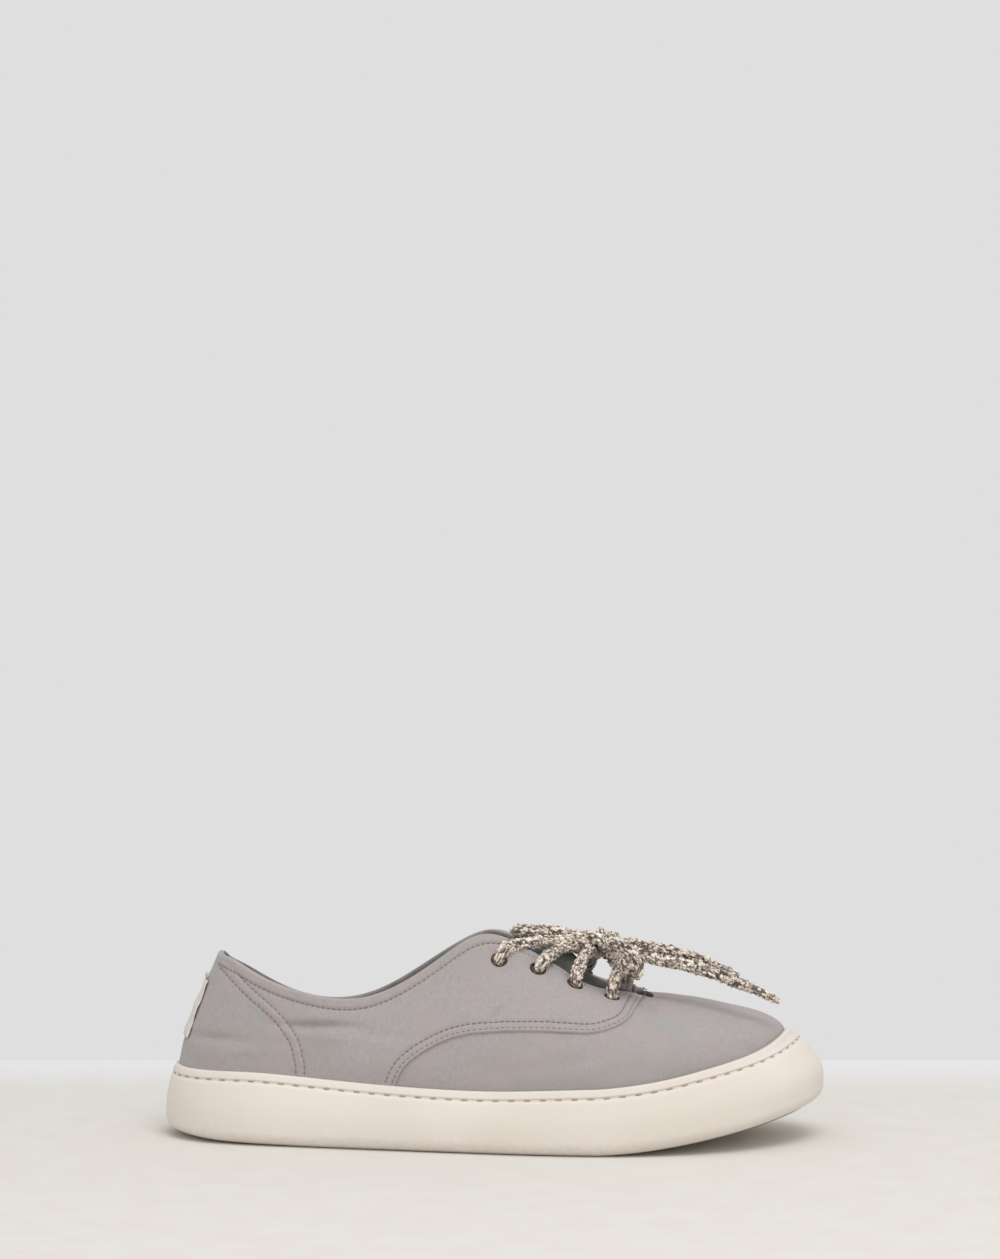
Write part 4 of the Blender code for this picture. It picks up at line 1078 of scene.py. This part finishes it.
tongue_cloth = material("tongue_cloth", canvas_even, tongue_look)
tongue_stations = np.linspace(7.6, TOE, 90)
wings = level_below_edge(tongue_stations, TONGUE_WING)
tongue_sheets = []
for depth in (CANVAS + 2 * GAP, CANVAS + 2 * GAP + TONGUE_THICKNESS):
    rows = []
    for station, wing in zip(tongue_stations, wings):
        levels = np.concatenate([np.linspace(wing, 1, 10), np.linspace(1, 2, 14)[1:]])
        crown = (4.2 * smooth(TOE - station, 2.9, 3.9) + 4.2 * smooth(TOE - station, 3.9, 4.7)) * MM
        crown *= smooth(station, 7.8, 9.4)
        dip = -depth + crown * smooth(levels, 1.1, 1.8)
        near_half = skin(station, levels, dip)
        far_half = skin(STATIONS - station, levels, dip)
        centre = (near_half[-1] + far_half[-1]) / 2
        rows.append(np.concatenate([near_half[:-1], [centre], far_half[-2::-1]]))
    tongue_sheets.append(np.array(rows))
tongue_lay = tongue_sheets[0][..., :2]
tongue_making = Making()
tongue_making.grid(tongue_sheets[0][::-1], tongue_lay[::-1])
tongue_making.grid(tongue_sheets[1], tongue_lay)
top_out, top_in = tongue_sheets[0][0], tongue_sheets[1][0]
rim_turn = np.stack([top_out, (top_out + top_in) / 2 - (0.6 * MM, 0, 0), top_in])
tongue_making.grid(rim_turn, np.repeat(tongue_lay[:1], 3, axis=0))
tongue_making.piece("canvas_tongue", tongue_cloth, "grey_canvas", "tongue")


# Eyelets: eight small rings of dark, slightly worn bronze, four to a side. Each is pressed through the
# quarter, with its rim rolled over on the outside.
EYELET_BORE = 4.2 * MM
EYELET_FLANGE = 7.4 * MM
EYELET_DROP = 11.8 * MM
EYELET_PITCH = 15.7 * MM
FIRST_EYELET = 10 * MM


def bronze_look(wire):
    worn = wire.place().noise(900, 3, 0.6)
    tone = worn.rise(0.40, 0.66).mix(colour(74, 63, 50), colour(118, 100, 78))
    return {"Base Color": tone, "Roughness": 0.34 + worn * 0.25, "Normal": worn.bump(0.03 * MM, 0.5)}


bronze = material("bronze", {"Metallic": 1.0}, bronze_look)
throat_stations = np.linspace(7.0, TOE - 2, 101)
throat_levels = level_below_edge(throat_stations, EYELET_DROP)
throat_run = run_of(last(throat_stations, throat_levels))[1:]
eyelet_frames = []
for side in (1, -1):
    for number in range(4):
        station = np.interp(FIRST_EYELET + number * EYELET_PITCH, throat_run, throat_stations[1:])
        level = level_below_edge(station, EYELET_DROP)[0]
        station = station if side > 0 else STATIONS - station
        place = Vector(skin(station, level, QUARTER_STEP))
        axis = (place - Vector(skin(station, level, -CANVAS))).normalized()
        eyelet_frames.append(Matrix.Translation(place) @ axis.to_track_quat("Z", "Y").to_matrix().to_4x4())
eyelet_making = Making()
bore = EYELET_BORE / 2
flange = EYELET_FLANGE / 2
roll = [
    (bore + 0.1 * MM, -CANVAS), (bore, 0.2 * MM), (bore + 0.25 * MM, 0.75 * MM),
    (bore + 0.6 * MM, 0.85 * MM), (flange - 0.85 * MM, 0.7 * MM), (flange - 0.45 * MM, 0.4 * MM),
    (flange - 0.3 * MM, 0.1 * MM), (flange - 0.4 * MM, -0.2 * MM),
]
turns = np.linspace(0, 2 * np.pi, 28, endpoint=False)
for spot in eyelet_frames:
    rings = np.array([
        [spot @ Vector((r * math.cos(turn), r * math.sin(turn), z)) for turn in turns] for r, z in roll
    ])
    eyelet_making.grid(rings, np.zeros((len(roll), 29, 2)), around=True)
eyelet_names = [f"eyelet_{row}_{number}" for row in ("outer", "inner") for number in (1, 2, 3, 4)]
eyelet_making.piece("eyelet_rings", bronze, "bronze", *eyelet_names)


# Lace strands: the same round braid as the bow. Each comes out of its eyelet from the inside, bends over
# the metal rim and runs up to the knot, and its hidden end stops under the eyelet.
STRANDS = [
    [(5.1, -21.8, 75.5), (6.5, -19.5, 77.0), (9.5, -16.0, 77.4), (14.8, -12.0, 78.2), (20.9, -8.5, 78.4),
     (27.1, -6.0, 78.7), (33.4, -4.5, 78.8), (38.1, -3.0, 78.4)],
    [(20.6, -20.3, 71.0), (21.8, -17.5, 72.6), (23.9, -13.5, 73.8), (26.1, -9.5, 75.2), (29.5, -6.0, 76.4),
     (35.0, -2.0, 76.2)],
    [(34.1, -18.4, 65.6), (34.5, -15.5, 68.0), (35.7, -11.5, 70.6), (37.1, -8.0, 73.2), (39.4, -4.0, 75.6)],
    [(48.4, -17.9, 60.6), (49.0, -16.5, 63.6), (50.2, -13.0, 67.2), (50.0, -9.0, 70.5), (47.7, -4.0, 73.6)],
    [(6.6, 21.8, 74.0), (12.0, 17.0, 75.4), (20.0, 11.0, 76.4), (28.0, 6.0, 76.6), (36.0, 3.0, 75.6)],
    [(22.4, 20.4, 71.2), (27.0, 14.0, 73.4), (32.0, 8.0, 74.6), (37.0, 3.5, 74.4)],
    [(37.2, 19.4, 66.0), (38.6, 13.6, 69.0), (39.8, 8.0, 71.6), (41.0, 3.6, 73.0)],
    [(51.8, 18.8, 60.8), (52.0, 13.6, 64.6), (51.2, 8.0, 68.4), (49.0, 3.6, 71.6)],
]
strand_making = Making()
for spot, route in zip(eyelet_frames, STRANDS):
    inside = [spot @ Vector((0, 0, height * MM)) for height in (-2.6, 0.6)]
    braid(strand_making, inside + [Vector(point) * MM for point in route])
strand_making.piece("lace_strand_braids", marl, "marled_lace", "lace_strands")


# Heel label: a bare piece of cream woven tape. It is fixed flat over the middle of the heel, and its cut
# top edge has frayed into short threads.
LABEL_WIDTH = 23.6 * MM
LABEL_HEIGHT = 25 * MM


def tape_look(wire):
    along, across, _ = wire.lay().parts()
    rib = (across * (2 * math.pi / (0.7 * MM))).sin() * 0.5 + 0.5
    warp = (along * (2 * math.pi / (0.45 * MM))).sin() * 0.5 + 0.5
    fibres = wire.vector(along * 1600, across * 500).noise(1.0, 3, 0.7)
    tone = (rib * 0.4 + fibres * 0.8).rise(0.3, 0.9).mix(colour(196, 190, 178), colour(226, 222, 212))
    return {"Base Color": tone, "Normal": (rib * 0.6 + warp * 0.3 + fibres * 0.5).bump(0.15 * MM, 0.8)}


tape = material("woven_tape", {"Roughness": 0.9, "Sheen Weight": 0.15}, tape_look)
station_metres = run_of(last(np.array([-0.5, 0.0, 0.5]), 0.5))[-1]
canvas_height = np.linalg.norm(last(0, 1) - last(0, 0))
grid_u, grid_v = np.meshgrid(np.linspace(-1, 1, 61), np.linspace(-1, 1, 41))
label_s = grid_u * LABEL_WIDTH / 2 / station_metres
label_l = 0.5 + grid_v * LABEL_HEIGHT / 2 / canvas_height
border = np.minimum(1 - np.abs(grid_u), 1 - np.abs(grid_v))
label_lift = QUARTER_STEP + COUNTER_STEP + 0.15 * MM + 0.6 * MM * smooth(border, -0.02, 0.05)
label_lift += 0.2 * MM * np.sin(grid_v * 7 + grid_u * 2) + 0.06 * MM * np.sin(grid_v * 17)
label_making = Making()
label_lay = np.stack([grid_u * LABEL_WIDTH / 2, grid_v * LABEL_HEIGHT / 2], axis=-1)
label_making.grid(skin(label_s, label_l, label_lift), label_lay)
FRAYED_THREADS = 46
fray_random = np.random.default_rng(11)
for _ in range(FRAYED_THREADS):
    root = (fray_random.uniform(-0.98, 0.98) * LABEL_WIDTH / 2 / station_metres, label_l[-1, 0])
    start = skin(*root, QUARTER_STEP + COUNTER_STEP + 0.7 * MM)
    along_way, up_way, out_way = directions(*root)
    reach = fray_random.uniform(0.8, 2.8) * MM
    lean_x, lean_out = fray_random.uniform(-0.7, 0.7), fray_random.uniform(-0.1, 0.55)
    tip = start + (up_way + along_way * lean_x + out_way * lean_out) * reach
    middle = (start + tip) / 2 + out_way * fray_random.uniform(0, 0.4) * MM
    hair = smooth_route([start - up_way * 0.8 * MM, start, middle, tip], 0.4 * MM)
    rings = rings_along(hair, np.linspace(0.13, 0.06, len(hair)) * MM, 4)
    label_making.grid(rings, np.zeros((len(hair), 5, 2)), around=True, caps=True)
label_making.piece("heel_tape", tape, "woven_tape", "heel_label")


# Floor and light: a smooth pale table top that ends behind the shoe, before an even pale grey background.
# Two broad soft lamps stand over the outer side, and the background lights the rest.
FLOOR_END = 0.21
FLOOR_TURN = math.radians(4)


def floor_look(wire):
    x, y, _ = wire.place().parts()
    grain = wire.place().noise(60, 2, 0.5)
    tone = grain.rise(0.3, 0.7).mix(colour(219, 216, 209), colour(217, 213, 206))
    far = (y - x * math.tan(FLOOR_TURN)).rise(0.10, FLOOR_END)
    return {"Base Color": far.mix(tone, colour(226, 227, 229))}


floor_finish = material("pale_floor", {"Roughness": 0.95, "Specular IOR Level": 0.05}, floor_look)
floor_mesh = bpy.data.meshes.new("floor")
floor_points = [Vector((x, y, 0)) for y in (-3.0, -0.5, FLOOR_END) for x in (-3.0, 3.0)]
turned = Matrix.Rotation(FLOOR_TURN, 3, "Z")
floor_mesh.from_pydata([turned @ point for point in floor_points], [], [(0, 1, 3, 2), (2, 3, 5, 4)])
floor_mesh.shade_smooth()
floor_mesh.materials.append(floor_finish)
floor = bpy.data.objects.new("floor", floor_mesh)
bpy.context.scene.collection.objects.link(floor)

world = bpy.data.worlds.new("studio")
world.use_nodes = True
background = world.node_tree.nodes["Background"].inputs
background["Color"].default_value = (0.992, 0.992, 1.0, 1.0)
background["Strength"].default_value = 0.745
bpy.context.scene.world = world
LAMPS = [
    ("key", (0.32, -0.65, 1.45), 0.9, 10.3),
    ("fill", (0.0, -1.6, 0.5), 1.6, 5.0),
]
for name, place, size, power in LAMPS:
    lamp_data = bpy.data.lights.new(name, "AREA")
    lamp_data.size = size
    lamp_data.energy = power
    lamp = bpy.data.objects.new(name, lamp_data)
    lamp.location = place
    lamp.rotation_euler = (Vector((0, 0, 0.03)) - Vector(place)).to_track_quat("-Z", "Y").to_euler()
    bpy.context.scene.collection.objects.link(lamp)
